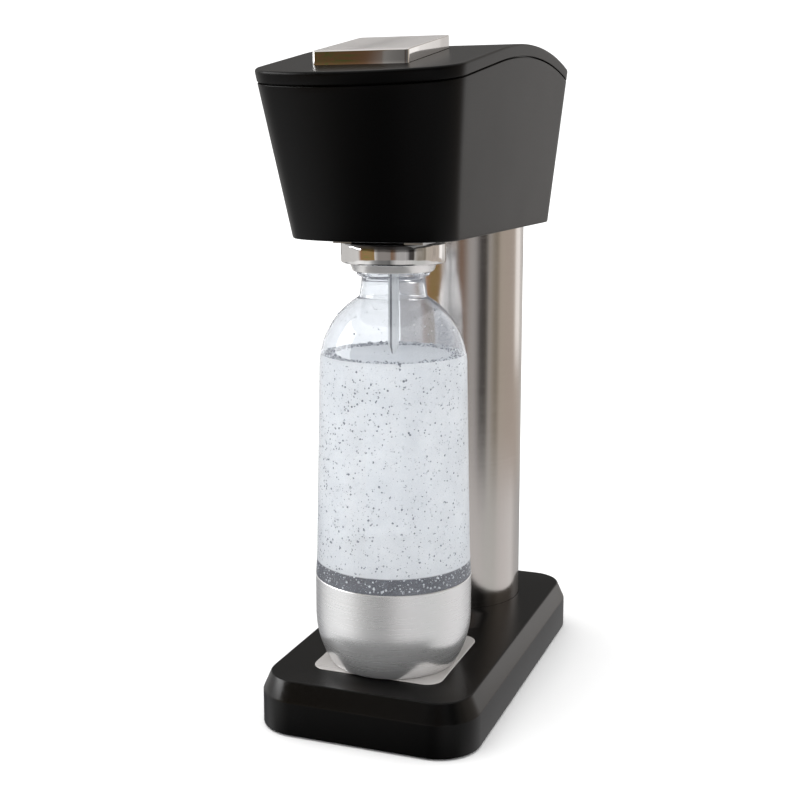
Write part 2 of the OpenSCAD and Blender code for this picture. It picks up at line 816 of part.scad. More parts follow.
module gas_hose() {
    sides = 8;
    rings = [for (i = [0:hose_steps])
        let (
            t = i / hose_steps,
            p = hose_at(t),
            along = i == 0 || i == hose_steps ? [0, -1, 0] : unit(hose_at(t + 0.01) - hose_at(t - 0.01)),
            side = unit(cross(along, [0, 0, 1])),
            up = cross(side, along)
        )
        [for (k = [0:sides - 1]) p + hose_r * (cos(360 * k / sides) * side + sin(360 * k / sides) * up)]];
    color("#1d1d1f") polyhedron(
        points = [for (r = rings) for (p = r) p],
        faces = concat(
            [[for (k = [0:sides - 1]) k]],
            [[for (k = [0:sides - 1]) (hose_steps + 1) * sides - 1 - k]],
            [for (i = [0:hose_steps - 1]) for (k = [0:sides - 1])
                [i * sides + k, (i + 1) * sides + k, i * sides + (k + 1) % sides]],
            [for (i = [0:hose_steps - 1]) for (k = [0:sides - 1])
                [(i + 1) * sides + k, (i + 1) * sides + (k + 1) % sides, i * sides + (k + 1) % sides]]
        )
    );
}

module hose_nuts() {
    nut_len = 5;
    for (end = [[hose_start, 1], [hose_end, -1]])
        color("#b8923e") translate(end[0]) rotate([90 * end[1], 0, 0]) difference() {
            cylinder(r = 5, h = nut_len, $fn = 6);
            translate([0, 0, -1]) cylinder(r = hose_r + 0.5, h = nut_len + 2);
        }
}

module gas_coupling() {
    color("#b8923e") at_bottle() difference() {
        union() {
            translate([0, 0, coupling_z]) cylinder(r = coupling_r, h = coupling_h);
            translate([0, 0, floor_top]) cylinder(r = coupling_r + 2.5, h = 3);
            translate([-6, 0, inlet_z - 6]) cube([12, coupling_r, 12]);
        }
        translate([0, 0, coupling_z - 1]) cylinder(r = 2, h = inlet_z - coupling_z + 1);
        translate([0, 0, inlet_z]) rotate([-90, 0, 0]) cylinder(r = hose_bore_r, h = coupling_r + 5);
        translate([0, 0, coupling_z - 1]) ring(8, 5, 2.6);
    }
}

module coupling_seal() {
    color("#181818") at_bottle() translate([0, 0, head_z]) ring(7.8, 5.2, coupling_z + 1.6 - head_z);
}

// ---- rail and bottle cap ----
flange_z = head_z - 1.7;
flange_t = 1.4;
flange_r = 24;
lip_z = head_z - 2.9;
rail_lip_t = 1;
rail_half = flange_r + free_gap;
rail_slot = 15;
ring_top = lip_z - seat_gap;
web_t = 1.3;
core_top = ring_top - web_t - free_gap;
core_t = 1.4;
gasket_t = 1.2;
mouth_z = core_top - core_t - gasket_t;
core_neck_r = 12.5;
finish_r = 16.6;
thread_r = 18;
ring_bore = thread_r + free_gap;
ring_low = ring_top - ring_h;
skirt_low = ring_low - skirt_h;
neck_in_r = finish_r - neck_wall;

module slide_rail() {
    back = flange_r + free_gap;
    len = flange_r + back;
    color("#b4b2ae") at_bottle() translate([0, back, 0]) {
        for (sx = [-1, 1]) {
            translate([sx * (rail_half + 0.6) - 0.6, -len, lip_z]) cube([1.2, len, head_z - lip_z]);
            translate([sx > 0 ? rail_slot : -rail_half - eps, -len, lip_z])
                cube([rail_half - rail_slot + eps, len, rail_lip_t]);
        }
        translate([-rail_half - 1.2, 0, lip_z]) cube([2 * rail_half + 2.4, 1.2, head_z - lip_z]);
    }
}

module infuser_core() {
    color("#2a2b2d") at_bottle() difference() {
        union() {
            translate([0, 0, flange_z]) cylinder(r = flange_r, h = flange_t);
            translate([0, 0, core_top - eps]) cylinder(r = core_neck_r, h = flange_z - core_top + 2 * eps);
            translate([0, 0, core_top - core_t]) cylinder(r = thread_r - 0.4, h = core_t);
            translate([0, 0, mouth_z - 7]) cylinder(r = neck_in_r - seat_gap, h = core_top - mouth_z + 7);
        }
        translate([0, 0, mouth_z - 8]) cylinder(r = tube_r + hole_gap, h = 14);
        translate([0, 0, mouth_z]) cylinder(r = 1.6, h = 20);
    }
}

module bottle_gasket() {
    color("#d8d4c8") at_bottle() translate([0, 0, mouth_z]) ring(finish_r - 0.2, neck_in_r, gasket_t);
}

module collar_ring() {
    color("#cfcdcb") at_bottle() difference() {
        translate([0, 0, ring_low]) linear_extrude(ring_h) difference() {
            circle(ring_r);
            for (i = [0:flute_count - 1])
                rotate(360 * i / flute_count) translate([ring_r + flute_r - flute_depth, 0]) circle(flute_r, $fn = 48);
        }
        translate([0, 0, ring_low - 1]) cylinder(r = ring_bore, h = ring_h - web_t + 1);
        translate([0, 0, ring_low]) cylinder(r = core_neck_r + free_gap, h = ring_h + 1);
    }
}

module collar_skirt() {
    color("#cfcdcb") at_bottle() rotate_extrude() polygon([
        [ring_bore, skirt_low],
        [skirt_end_r, skirt_low],
        [skirt_r, skirt_low + skirt_h * 0.7],
        [skirt_r, ring_low],
        [ring_bore, ring_low]
    ]);
}

module nozzle_tube() {
    color("#e0e0e0") at_bottle() translate([0, 0, mouth_z + 5.5 - tube_len]) ring(tube_r, tube_r - 1, tube_len);
}

module nozzle_tip() {
    tip_h = 5;
    color("#404040") at_bottle() translate([0, 0, mouth_z + 5.5 - tube_len]) difference() {
        union() {
            cylinder(r = tube_r - 1, h = 4);
            translate([0, 0, -tip_h]) cylinder(r1 = 1.4, r2 = tube_r, h = tip_h);
        }
        translate([0, 0, -tip_h - 1]) cylinder(r = 0.6, h = tip_h + 6);
    }
}

// ---- bottle ----
bottle_z = base_h + tray_proud + bottle_lift;
neck_ring_top = skirt_low - free_gap;
neck_ring_h = 2;
neck_top = neck_ring_top - neck_ring_h;
shoulder_z = neck_top - neck_h;
dome_low = shoulder_z - dome_h;
cup_top = bottle_z + cup_h;
cup_wide_z = bottle_z + 29;
foot_round = 14;

// outer points of the cup from its foot up to its rim
function cup_side(inset) = concat(
    [[cup_foot_r, bottle_z + inset]],
    [for (i = [1:8]) let (a = 90 * i / 8)
        [cup_foot_r + (cup_r - inset - cup_foot_r) * sin(a),
         cup_wide_z - (cup_wide_z - bottle_z - inset) * cos(a)]],
    [[bottle_r + cup_wall - inset + (cup_r - bottle_r - cup_wall) / 2, cup_top - 6]]
);

// domed shoulder: an arc that leaves the body upright and ends at the neck
dome_in = bottle_top_r - shoulder_r;
dome_r = (dome_in * dome_in + dome_h * dome_h) / (2 * dome_in);
dome_turn = asin(dome_h / dome_r);

function dome_side(inset) = arc(bottle_top_r - dome_r, dome_low, dome_r - inset, 0, dome_turn, 12);

function bottle_outer() = concat(
    [[0, bottle_z + cup_wall + 3], [cup_foot_r - 8, bottle_z + cup_wall + 3]],
    [for (p = cup_side(cup_wall + seat_gap)) p],
    [[bottle_r, cup_top - 4], [bottle_r, cup_top + 4]],
    dome_side(0),
    [
        [neck_r, neck_top - neck_h * 0.35], [neck_r, neck_top],
        [neck_ring_r, neck_top], [neck_ring_r, neck_ring_top], [finish_r, neck_ring_top],
        [finish_r, mouth_z - 8], [thread_r, mouth_z - 7.2], [thread_r, mouth_z - 6.4], [finish_r, mouth_z - 5.6],
        [finish_r, mouth_z - 4], [thread_r, mouth_z - 3.2], [thread_r, mouth_z - 2.4], [finish_r, mouth_z - 1.6],
        [finish_r, mouth_z]
    ]
);

function bottle_inner() = concat(
    [[0, bottle_z + cup_wall + 3 + bottle_wall], [cup_foot_r - 8, bottle_z + cup_wall + 3 + bottle_wall]],
    [for (p = cup_side(cup_wall + seat_gap + bottle_wall)) p],
    [[bottle_r - bottle_wall, cup_top + 4]],
    dome_side(bottle_wall),
    [
        [neck_r - neck_wall, neck_top - neck_h * 0.35], [neck_in_r, neck_ring_top], [neck_in_r, mouth_z]
    ]
);

function reversed(list) = [for (i = [len(list) - 1:-1:0]) list[i]];

module bottle() {
    color("#cfe0ea", 0.5) at_bottle() rotate_extrude() polygon(concat(bottle_outer(), reversed(bottle_inner())));
}

module bottle_cup() {
    rim_r = bottle_r + cup_wall;
    color("#c8c8c8") at_bottle() rotate_extrude() polygon(concat(
        [[0, bottle_z + 2], [cup_foot_r - 6, bottle_z + 2], [cup_foot_r - 3, bottle_z]],
        cup_side(0),
        [[rim_r, cup_top], [rim_r - cup_wall + 0.1, cup_top], [rim_r - cup_wall + 0.1, cup_top - 3]],
        reversed(cup_side(cup_wall)),
        [[cup_foot_r - 3, bottle_z + cup_wall], [cup_foot_r - 6, bottle_z + 2 + cup_wall], [0, bottle_z + 2 + cup_wall]]
    ));
}

base_shell();
base_plate();
rubber_feet();
base_screws();
drip_tray();
column_tube();
column_socket();
socket_screws();
cylinder_hatch();
hatch_pad();
gas_cylinder();
cylinder_valve();
cylinder_seal();
cylinder_pin();
head_housing();
head_lid();
head_floor();
head_screws();
head_frame();
frame_screws();
valve_block();
valve_pin();
pin_spring();
relief_valve();
press_lever();
lever_pin();
push_button();
button_carrier();
button_guide();
button_spring();
gas_hose();
hose_nuts();
gas_coupling();
coupling_seal();
slide_rail();
infuser_core();
bottle_gasket();
collar_ring();
collar_skirt();
nozzle_tube();
nozzle_tip();
bottle();
bottle_cup();
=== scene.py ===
# %% [markdown]
# # A soda carbonator, from its frame to its finish
# The machine is already a working model: every sub-part is a solid with a name, and the parts that
# move ride on bodies. This lesson dresses that frame. Where a solid's shape is right it only gets
# a better material, and where the real piece has rounded edges, flutes or threads that the solid
# leaves out, a finer mesh takes its place and rides on the same body.

# %% Load the frame
import json
import math

import bmesh
import bpy
import numpy as np
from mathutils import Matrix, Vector


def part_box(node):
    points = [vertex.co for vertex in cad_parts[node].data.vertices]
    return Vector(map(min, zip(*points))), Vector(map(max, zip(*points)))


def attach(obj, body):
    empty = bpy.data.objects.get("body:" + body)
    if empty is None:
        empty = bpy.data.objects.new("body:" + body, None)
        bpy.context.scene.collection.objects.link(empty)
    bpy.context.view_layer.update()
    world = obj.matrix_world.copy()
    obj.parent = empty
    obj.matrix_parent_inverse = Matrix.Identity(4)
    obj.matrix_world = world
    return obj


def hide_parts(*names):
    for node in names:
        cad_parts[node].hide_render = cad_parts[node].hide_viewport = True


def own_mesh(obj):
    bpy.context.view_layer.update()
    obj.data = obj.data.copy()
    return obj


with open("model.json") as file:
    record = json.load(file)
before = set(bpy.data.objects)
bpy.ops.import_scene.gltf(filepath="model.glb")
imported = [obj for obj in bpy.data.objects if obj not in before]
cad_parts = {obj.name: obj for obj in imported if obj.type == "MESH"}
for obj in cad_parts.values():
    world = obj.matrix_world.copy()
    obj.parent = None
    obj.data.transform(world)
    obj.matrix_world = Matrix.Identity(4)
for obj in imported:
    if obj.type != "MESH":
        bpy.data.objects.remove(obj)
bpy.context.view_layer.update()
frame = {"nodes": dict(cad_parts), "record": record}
nodes = frame["nodes"]

# %% [markdown]
# ## Sizes
# Everything below is worked out in millimetres and turned into metres when a mesh is made. The
# sizes come from the frame's own boxes, so the pieces still fit if the frame is packed again with
# other numbers. Only the head's slopes and curves can't be read from a box, so they are named here.

# %% Read sizes from the frame
MM = 0.001


def low(node):
    return np.array(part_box(node)[0]) / MM


def high(node):
    return np.array(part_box(node)[1]) / MM


def middle(node):
    return (low(node) + high(node)) / 2


def half_width(node):
    return (high(node)[0] - low(node)[0]) / 2


BOTTLE_Y = middle("bottle")[1]
COLUMN_Y = middle("column_tube")[1]
BASE_Y = middle("base_shell")[1]
print("bottle axis y", round(BOTTLE_Y, 2), " column axis y", round(COLUMN_Y, 2))

# %% [markdown]
# ## Meshes from rings
# Most of the machine's pieces are stacks of closed outlines: a head shell is a rounded plan that
# is drawn in at the bottom, and a bottle is a stack of circles. One helper joins such rings with
# quads, merges the points that fall together at a pole, and turns every face outwards. That gives
# clean, even faces, which hold a gloss better than a solid's long triangles.

# %% Join rings into a closed mesh
SMOOTH_BELOW = math.radians(28)


def new_piece(name, points, faces):
    """A mesh object at the origin from points in millimetres, merged and turned outwards."""
    mesh = bpy.data.meshes.new(name)
    mesh.from_pydata([Vector(p) * MM for p in points], [], [list(f) for f in faces])
    work = bmesh.new()
    work.from_mesh(mesh)
    bmesh.ops.remove_doubles(work, verts=work.verts, dist=1e-6)
    bmesh.ops.dissolve_degenerate(work, edges=work.edges, dist=1e-7)
    bmesh.ops.recalc_face_normals(work, faces=work.faces)
    work.to_mesh(mesh)
    work.free()
    piece = bpy.data.objects.new(name, mesh)
    bpy.context.scene.collection.objects.link(piece)
    return piece


def from_rings(name, rings, closed=False):
    """Quads between rings of the same number of points. closed joins the last ring to the first."""
    count = len(rings[0])
    points = [p for ring in rings for p in ring]
    faces = []
    for i in range(len(rings) - (0 if closed else 1)):
        j = (i + 1) % len(rings)
        for k in range(count):
            m = (k + 1) % count
            faces.append((i * count + k, i * count + m, j * count + m, j * count + k))
    return new_piece(name, points, faces)


def lathe(name, profile, x=0.0, y=0.0, sides=128):
    """Turns (radius, height) points round an upright axis. The profile is closed on itself."""
    turn = np.arange(sides) * 2 * math.pi / sides
    rings = [np.stack([x + r * np.cos(turn), y + r * np.sin(turn), np.full(sides, z)], 1)
             for r, z in profile]
    return from_rings(name, rings, closed=True)


def arc(cx, cy, radius, start, end, steps):
    """Points of an arc from one angle to another, in degrees."""
    angles = np.radians(np.linspace(start, end, steps + 1))
    return [(cx + radius * math.cos(a), cy + radius * math.sin(a)) for a in angles]


def finish(piece, body, stands_for, materials):
    """Shades the piece, gives it its materials and puts it on its body in place of CAD nodes."""
    piece.data.polygons.foreach_set("use_smooth", [True] * len(piece.data.polygons))
    piece.data.set_sharp_from_angle(angle=SMOOTH_BELOW)
    for material in materials:
        if material.name not in piece.data.materials:
            piece.data.materials.append(material)
    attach(piece, body)
    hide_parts(*stands_for)
    print(f"{piece.name}: {len(piece.data.polygons)} faces on {body}, for {', '.join(stands_for)}")
    return piece


# %% [markdown]
# ## Shader maths
# A material here is worked out from the place on the piece: grain, brushing and small changes of
# gloss. Node trees are hard to read as lists of links, so a small class wraps one socket and lets
# ordinary arithmetic add the Math nodes. Its add method makes any other node, and the methods
# after it are short names for the nodes that are used often.

# %% Wrap a socket so that arithmetic adds nodes
class Wire:
    """One output socket in a node tree."""

    def __init__(self, tree, socket=None):
        self.tree = tree
        self.socket = socket

    def add(self, kind, settings=None, inputs=None, output=0):
        """Adds a node: its settings first, then values or wires for its sockets."""
        node = self.tree.nodes.new(kind)
        for key, value in (settings or {}).items():
            if key == "stops":
                while len(node.color_ramp.elements) < len(value):
                    node.color_ramp.elements.new(0.5)
                for element, (place, colour) in zip(node.color_ramp.elements, value):
                    element.position = place
                    element.color = colour
            else:
                setattr(node, key, value)
        for key, value in (inputs or {}).items():
            if isinstance(value, Wire):
                self.tree.links.new(value.socket, node.inputs[key])
            else:
                node.inputs[key].default_value = value
        return Wire(self.tree, node.outputs[output])

    def maths(self, operation, *values):
        inputs = dict(enumerate(values))
        return self.add("ShaderNodeMath", {"operation": operation}, inputs)

    def __add__(self, other):
        return self.maths("ADD", self, other)

    def __sub__(self, other):
        return self.maths("SUBTRACT", self, other)

    def __mul__(self, other):
        return self.maths("MULTIPLY", self, other)

    def __truediv__(self, other):
        return self.maths("DIVIDE", self, other)

    def __radd__(self, other):
        return self.maths("ADD", other, self)

    def __rsub__(self, other):
        return self.maths("SUBTRACT", other, self)

    def __rmul__(self, other):
        return self.maths("MULTIPLY", other, self)

    def ramp(self, low_in, high_in, low_out=0.0, high_out=1.0):
        """The value, moved from one range to another and held inside it."""
        inputs = {"From Min": low_in, "From Max": high_in, "To Min": low_out, "To Max": high_out}
        return self.add("ShaderNodeMapRange", None, {"Value": self, **inputs})

    def step(self, low_in, high_in):
        """0 below the range, 1 above it, with a smooth change between."""
        inputs = {"Value": self, "From Min": low_in, "From Max": high_in}
        return self.add("ShaderNodeMapRange", {"interpolation_type": "SMOOTHSTEP"}, inputs)

    def noise(self, scale, detail=2.0, roughness=0.5, distortion=0.0, stretch=None):
        """Noise at this place, about 0.5, with the pattern stretched along axes if asked."""
        place = self
        if stretch is not None:
            place = self.add("ShaderNodeMapping", None, {"Vector": self, "Scale": stretch})
        inputs = {"Vector": place, "Scale": scale, "Detail": detail, "Roughness": roughness,
                  "Distortion": distortion}
        return self.add("ShaderNodeTexNoise", None, inputs)

    def axes(self):
        """The three parts of a place."""
        split = self.add("ShaderNodeSeparateXYZ", None, {"Vector": self})
        return tuple(Wire(self.tree, output) for output in split.socket.node.outputs)

    def blend(self, dark, light):
        """A colour between two others, by this value."""
        first, second = [end if isinstance(end, Wire) else (*end, 1) for end in (dark, light)]
        return self.add("ShaderNodeMix", {"data_type": "RGBA"}, {0: self, 6: first, 7: second}, output=2)


def new_material(name, base=None, **fixed):
    """A Principled material. Returns it, its shader and the place on the piece in metres."""
    material = bpy.data.materials.new(name)
    material.use_nodes = True
    tree = material.node_tree
    shader = tree.nodes["Principled BSDF"]
    if base is not None:
        shader.inputs["Base Color"].default_value = (*base, 1)
    for key, value in fixed.items():
        shader.inputs[key.replace("_", " ")].default_value = value
    place = Wire(tree).add("ShaderNodeTexCoord", None, None, output=3)
    return material, shader, place


def feed(shader, socket, wire):
    wire.tree.links.new(wire.socket, shader.inputs[socket])


def bump(shader, height, strength, distance):
    """Raises the surface's shading by a height wire, at most by distance metres."""
    raised = height.add("ShaderNodeBump", None,
                        {"Height": height, "Strength": strength, "Distance": distance})
    feed(shader, "Normal", raised)


# %% [markdown]
# ## Finishes
# Each finish is a short function. Moulded plastic has a fine spark-eroded grain and slightly
# uneven gloss. Brushed steel has long scratches in one direction. Chrome is a mirror with faint
# waviness from polishing. None of them is one flat colour.

# %% Black satin plastic and the plainer inner plastic
BAND_STARTS = (0.0192, 0.0202)
BAND_ENDS = (0.0294, 0.0300)


def moulded(name, colour, roughness, grain, specular=0.5):
    material, shader, place = new_material(name)
    shader.inputs["Specular IOR Level"].default_value = specular
    fine = place.noise(grain, detail=2.0)
    cloud = place.noise(18.0, detail=3.0)
    darker = tuple(c * 0.82 for c in colour)
    feed(shader, "Base Color", cloud.blend(darker, colour))
    feed(shader, "Roughness", fine * 0.10 + cloud * 0.06 + (roughness - 0.08))
    bump(shader, fine, 0.12, 0.0002)
    return material


BLACK = moulded("black_satin_plastic", (0.0010, 0.0009, 0.0009), 0.30, 2600.0, specular=0.11)
# The base's chamfer is polished in the mould, between the two heights of the band.
BASE_BLACK = moulded("black_base_plastic", (0.0010, 0.0009, 0.0009), 0.30, 2600.0, specular=0.22)
base_shader = BASE_BLACK.node_tree.nodes["Principled BSDF"]
base_shader.inputs["Coat Roughness"].default_value = 0.22
_, _, base_height = Wire(BASE_BLACK.node_tree).add("ShaderNodeTexCoord", None, None, output=3).axes()
polished_band = base_height.step(*BAND_STARTS) * (1 - base_height.step(*BAND_ENDS))
feed(base_shader, "Coat Weight", polished_band * 0.35)
INNER = moulded("inner_plastic", (0.045, 0.045, 0.05), 0.5, 1800.0)
print("plastics:", BLACK.name, BASE_BLACK.name, INNER.name)

# %% [markdown]
# Steel is brushed in one direction, so its scratches are noise drawn out very long along an axis,
# or round it where the piece was turned. The scratches change both the gloss and the slope of the
# surface. Chrome plate has none: it is a mirror, a little hazy and not quite flat.

# %% Brushed, turned and polished metals
def brushed(name, colour, roughness, along, fineness, depth, turning=0.0, metal=1.0):
    """Steel brushed along an axis: the scratches are noise stretched far along that axis."""
    material, shader, place = new_material(name, Metallic=metal)
    shader.inputs["Anisotropic"].default_value = turning
    stretch = tuple(0.012 if axis == along else 1.0 for axis in "XYZ")
    lines = place.noise(fineness, detail=4.0, roughness=0.65, stretch=stretch)
    cloud = place.noise(25.0, detail=2.0)
    duller = tuple(c * 0.86 for c in colour)
    feed(shader, "Base Color", (lines * 0.7 + cloud * 0.3).blend(duller, colour))
    feed(shader, "Roughness", lines * 0.16 + cloud * 0.06 + (roughness - 0.11))
    bump(shader, lines, depth, 0.0001)
    return material


def turned(name, colour, roughness, pitch, depth, turning=0.0, metal=1.0):
    """Metal that was brushed or turned round an upright axis: the lines are level."""
    material, shader, place = new_material(name, Metallic=metal)
    shader.inputs["Anisotropic"].default_value = turning
    lines = place.noise(pitch, detail=3.0, roughness=0.7, stretch=(0.015, 0.015, 1.0))
    cloud = place.noise(30.0, detail=2.0)
    duller = tuple(c * 0.86 for c in colour)
    feed(shader, "Base Color", (lines * 0.6 + cloud * 0.4).blend(duller, colour))
    feed(shader, "Roughness", lines * 0.14 + cloud * 0.05 + (roughness - 0.09))
    bump(shader, lines, depth, 0.0001)
    return material


def polished(name, colour, roughness, metal=1.0):
    """Chrome plate: a mirror with a little haze and a faint unevenness from polishing."""
    material, shader, place = new_material(name, Metallic=metal)
    haze = place.noise(60.0, detail=4.0, roughness=0.6)
    wave = place.noise(22.0, detail=1.0)
    duller = tuple(c * 0.93 for c in colour)
    feed(shader, "Base Color", haze.blend(duller, colour))
    feed(shader, "Roughness", haze * 0.05 + (roughness - 0.02))
    bump(shader, wave, 0.12, 0.0003)
    return material


CHROME = polished("polished_chrome", (0.83, 0.815, 0.80), 0.05)
SATIN_TOP = brushed("button_top_satin", (0.78, 0.755, 0.745), 0.34, "X", 900.0, 0.06, metal=0.8)
COLUMN_STEEL = turned("column_steel", (0.74, 0.70, 0.67), 0.16, 1500.0, 0.10, turning=0.35)
SATIN_CHROME = polished("satin_chrome", (0.84, 0.825, 0.81), 0.22, metal=0.7)
CUP_STEEL = turned("cup_steel", (0.88, 0.88, 0.885), 0.28, 1800.0, 0.08, turning=0.6, metal=0.78)
CUP_STEEL.node_tree.nodes["Principled BSDF"].inputs["Coat Weight"].default_value = 0.4
TRAY_STEEL = brushed("tray_steel", (0.62, 0.60, 0.585), 0.30, "X", 1300.0, 0.08, metal=0.35)
PLAIN_STEEL = brushed("plain_steel", (0.56, 0.57, 0.58), 0.36, "Y", 700.0, 0.12)
SCREW_STEEL = turned("screw_steel", (0.60, 0.60, 0.60), 0.32, 2200.0, 0.10)
SPRING_STEEL = turned("spring_wire", (0.55, 0.55, 0.57), 0.28, 900.0, 0.08)
BRASS = turned("turned_brass", (0.70, 0.53, 0.24), 0.28, 1600.0, 0.10)
print("metals:", CHROME.name, COLUMN_STEEL.name, CUP_STEEL.name, TRAY_STEEL.name)

# %% [markdown]
# The remaining finishes are rubber with a matt skin, a sand-cast valve block, satin paint with
# a slight orange peel on the gas cylinder, and a braided hose with two sets of threads that cross.

# %% Rubber, casting, paint and hose
def rubber(name, colour, roughness=0.75):
    material, shader, place = new_material(name)
    dust = place.noise(140.0, detail=4.0, roughness=0.6)
    skin = place.noise(1500.0, detail=2.0)
    feed(shader, "Base Color", dust.blend(colour, tuple(min(1.0, c * 1.6 + 0.01) for c in colour)))
    feed(shader, "Roughness", dust * 0.15 + (roughness - 0.07))
    bump(shader, skin, 0.25, 0.0002)
    return material


def cast(name, colour):
    material, shader, place = new_material(name, Metallic=1.0)
    sand = place.noise(900.0, detail=4.0, roughness=0.7)
    cloud = place.noise(60.0, detail=2.0)
    feed(shader, "Base Color", cloud.blend(tuple(c * 0.8 for c in colour), colour))
    feed(shader, "Roughness", sand * 0.2 + 0.42)
    bump(shader, sand, 0.35, 0.0003)
    return material


def painted(name, colour):
    material, shader, place = new_material(name, Coat_Weight=0.4, Coat_Roughness=0.2)
    peel = place.noise(420.0, detail=1.0)
    cloud = place.noise(20.0, detail=3.0)
    feed(shader, "Base Color", cloud.blend(tuple(c * 0.9 for c in colour), colour))
    feed(shader, "Roughness", peel * 0.1 + 0.32)
    bump(shader, peel, 0.12, 0.0002)
    return material


def braided(name):
    """Two sets of threads that cross: the product of two slanting waves, 1.6 mm apart."""
    material, shader, place = new_material(name)
    x, y, z = place.axes()
    per_metre = 2 * math.pi / 0.0016
    one_way = place.maths("SINE", (x + y + z) * per_metre)
    other_way = place.maths("SINE", (x - y + z) * per_metre)
    weave = (one_way * other_way).ramp(-1.0, 1.0)
    feed(shader, "Base Color", weave.blend((0.012, 0.012, 0.014), (0.06, 0.06, 0.065)))
    feed(shader, "Roughness", weave * -0.2 + 0.7)
    bump(shader, weave, 0.6, 0.0004)
    return material


RUBBER = rubber("black_rubber", (0.016, 0.016, 0.017))
GASKET = rubber("silicone_gasket", (0.62, 0.58, 0.50), 0.6)
CAST = cast("cast_valve_block", (0.58, 0.59, 0.60))
PAINT = painted("cylinder_paint", (0.16, 0.27, 0.38))
HOSE = braided("braided_hose")
print("others:", RUBBER.name, GASKET.name, CAST.name, PAINT.name, HOSE.name)

# %% [markdown]
# ## Clear pieces
# The bottle is clear plastic and the water in it is fizzing, so it isn't quite clear: thousands
# of fine bubbles scatter the light and make it look a pale grey-blue. The water is a body of its
# own. Where it stands in the steel cup no light comes in from below, so just above the rim its
# colour is painted dark: painted shade.

# %% Clear plastic
def veil(material, shader, colour, share, glow):
    """Mixes a pale scattering layer into a clear material. glow is painted light: an emission that stands
    in for light scattered from inside.
    """
    tree = material.node_tree
    milk = share.add("ShaderNodeBsdfPrincipled", None,
                     {"Roughness": 0.5, "Specular IOR Level": 0.0, "Emission Strength": glow,
                      "Base Color": colour, "Emission Color": colour})
    clear = Wire(tree, shader.outputs[0])
    feed(tree.nodes["Material Output"], "Surface",
         share.add("ShaderNodeMixShader", None, {0: share, 1: clear, 2: milk}))


def clear_plastic(name, tint, roughness):
    """Clear plastic with a faint blue film, as a thin blown wall has."""
    material, shader, place = new_material(name, Transmission_Weight=1.0, IOR=1.45)
    ripple = place.noise(35.0, detail=2.0)
    film = place.noise(90.0, detail=3.0)
    feed(shader, "Base Color", film.blend(tint, tuple(min(1.0, c * 1.04) for c in tint)))
    feed(shader, "Roughness", film * 0.02 + roughness)
    bump(shader, ripple, 0.15, 0.0006)
    # The veil's glow of 0.05 is painted light: the bottle's wall emits a little.
    veil(material, shader, film.blend((0.70, 0.73, 0.82), (0.78, 0.81, 0.90)), film * 0.08 + 0.08, 0.05)
    return material


# %% [markdown]
# The water's milky part has a faint painted glow, an emission that stands in for the light
# passing through it. Bubbles are tiny mirrors: some send the bright room to the eye and some
# its dark corners, so their colour is a painted reflection, and a fine noise picks which are
# light and which are dark. The tube is pale and glossy, with a painted dark line along one side
# that stands in for its bore seen through the clear wall.

# %% Fizzing water, bubbles and tube
def fizzing_water(name, rim_z, painted_shade_h):
    """Cloudy water: mostly scattering, with painted shade up to painted_shade_h above the cup's rim."""
    material, shader, place = new_material(name, Transmission_Weight=1.0, IOR=1.06)
    shader.inputs["Roughness"].default_value = 0.04
    cloud = place.noise(55.0, detail=4.0, roughness=0.6)
    fizz = place.noise(1100.0, detail=2.0)
    _, _, height = place.axes()
    # Painted shade: below this height the water's colour and its veil are painted dark.
    above = (height + cloud * 0.0006).step(rim_z + painted_shade_h - 0.0004, rim_z + painted_shade_h + 0.0004)
    grain = fizz.ramp(0.30, 0.70) * 0.6 + cloud.ramp(0.3, 0.7) * 0.4
    pale = grain.blend((0.86, 0.885, 0.905), (0.98, 0.99, 0.99))
    dark = fizz.step(0.54, 0.62).blend((0.012, 0.015, 0.02), (0.07, 0.08, 0.095))
    feed(shader, "Base Color", above.blend((0.05, 0.055, 0.07), (0.93, 0.955, 0.985)))
    bump(shader, fizz, 0.3, 0.0004)
    share = (cloud * 0.2 + 0.68) * above + (1 - above) * 0.92
    # The veil's glow of 0.15 is painted light: the milky water emits a little.
    veil(material, shader, above.blend(dark, pale), share, 0.15)
    return material


def bubble_skin(name):
    """Bubbles carry painted reflections: a noise paints each one bright or dark, brighter towards the
    right and below about 9 mm above the cup's rim.
    """
    material, shader, place = new_material(name)
    pick = place.noise(900.0, detail=0.0)
    across, _, height = place.axes()
    # Painted reflections: each bubble's colour is a painted glint or a dark reflection, with glints made
    # more likely to the right and low down.
    rim = height.step(high("bottle_cup")[2] * MM + 0.0085, high("bottle_cup")[2] * MM + 0.0095)
    dark = (pick - 0.14 * (1 - rim) - across.ramp(-0.03, 0.04) * 0.10).step(0.40, 0.46)
    feed(shader, "Base Color", dark.blend((0.93, 0.95, 0.97), (0.16, 0.18, 0.21)))
    feed(shader, "Roughness", pick * 0.3 + 0.05)
    return material


def striped_tube(name, axis_y, from_angle, to_angle):
    """A glossy pale tube with a painted dark line along one side, which stands in for its bore seen
    through the clear wall.
    """
    material, shader, place = new_material(name, IOR=1.5)
    x, y, _ = place.axes()
    angle = place.maths("ARCTAN2", x, (y - axis_y) * -1)
    cloud = place.noise(200.0, detail=2.0)
    # Painted reflection: the dark line on the side that faces the front stands in for the bore showing
    # through.
    line = angle.step(from_angle - 0.06, from_angle) * (1 - angle.step(to_angle, to_angle + 0.06))
    feed(shader, "Base Color", line.blend((0.90, 0.91, 0.89), (0.02, 0.022, 0.02)))
    feed(shader, "Roughness", cloud * 0.1 + 0.08)
    return material


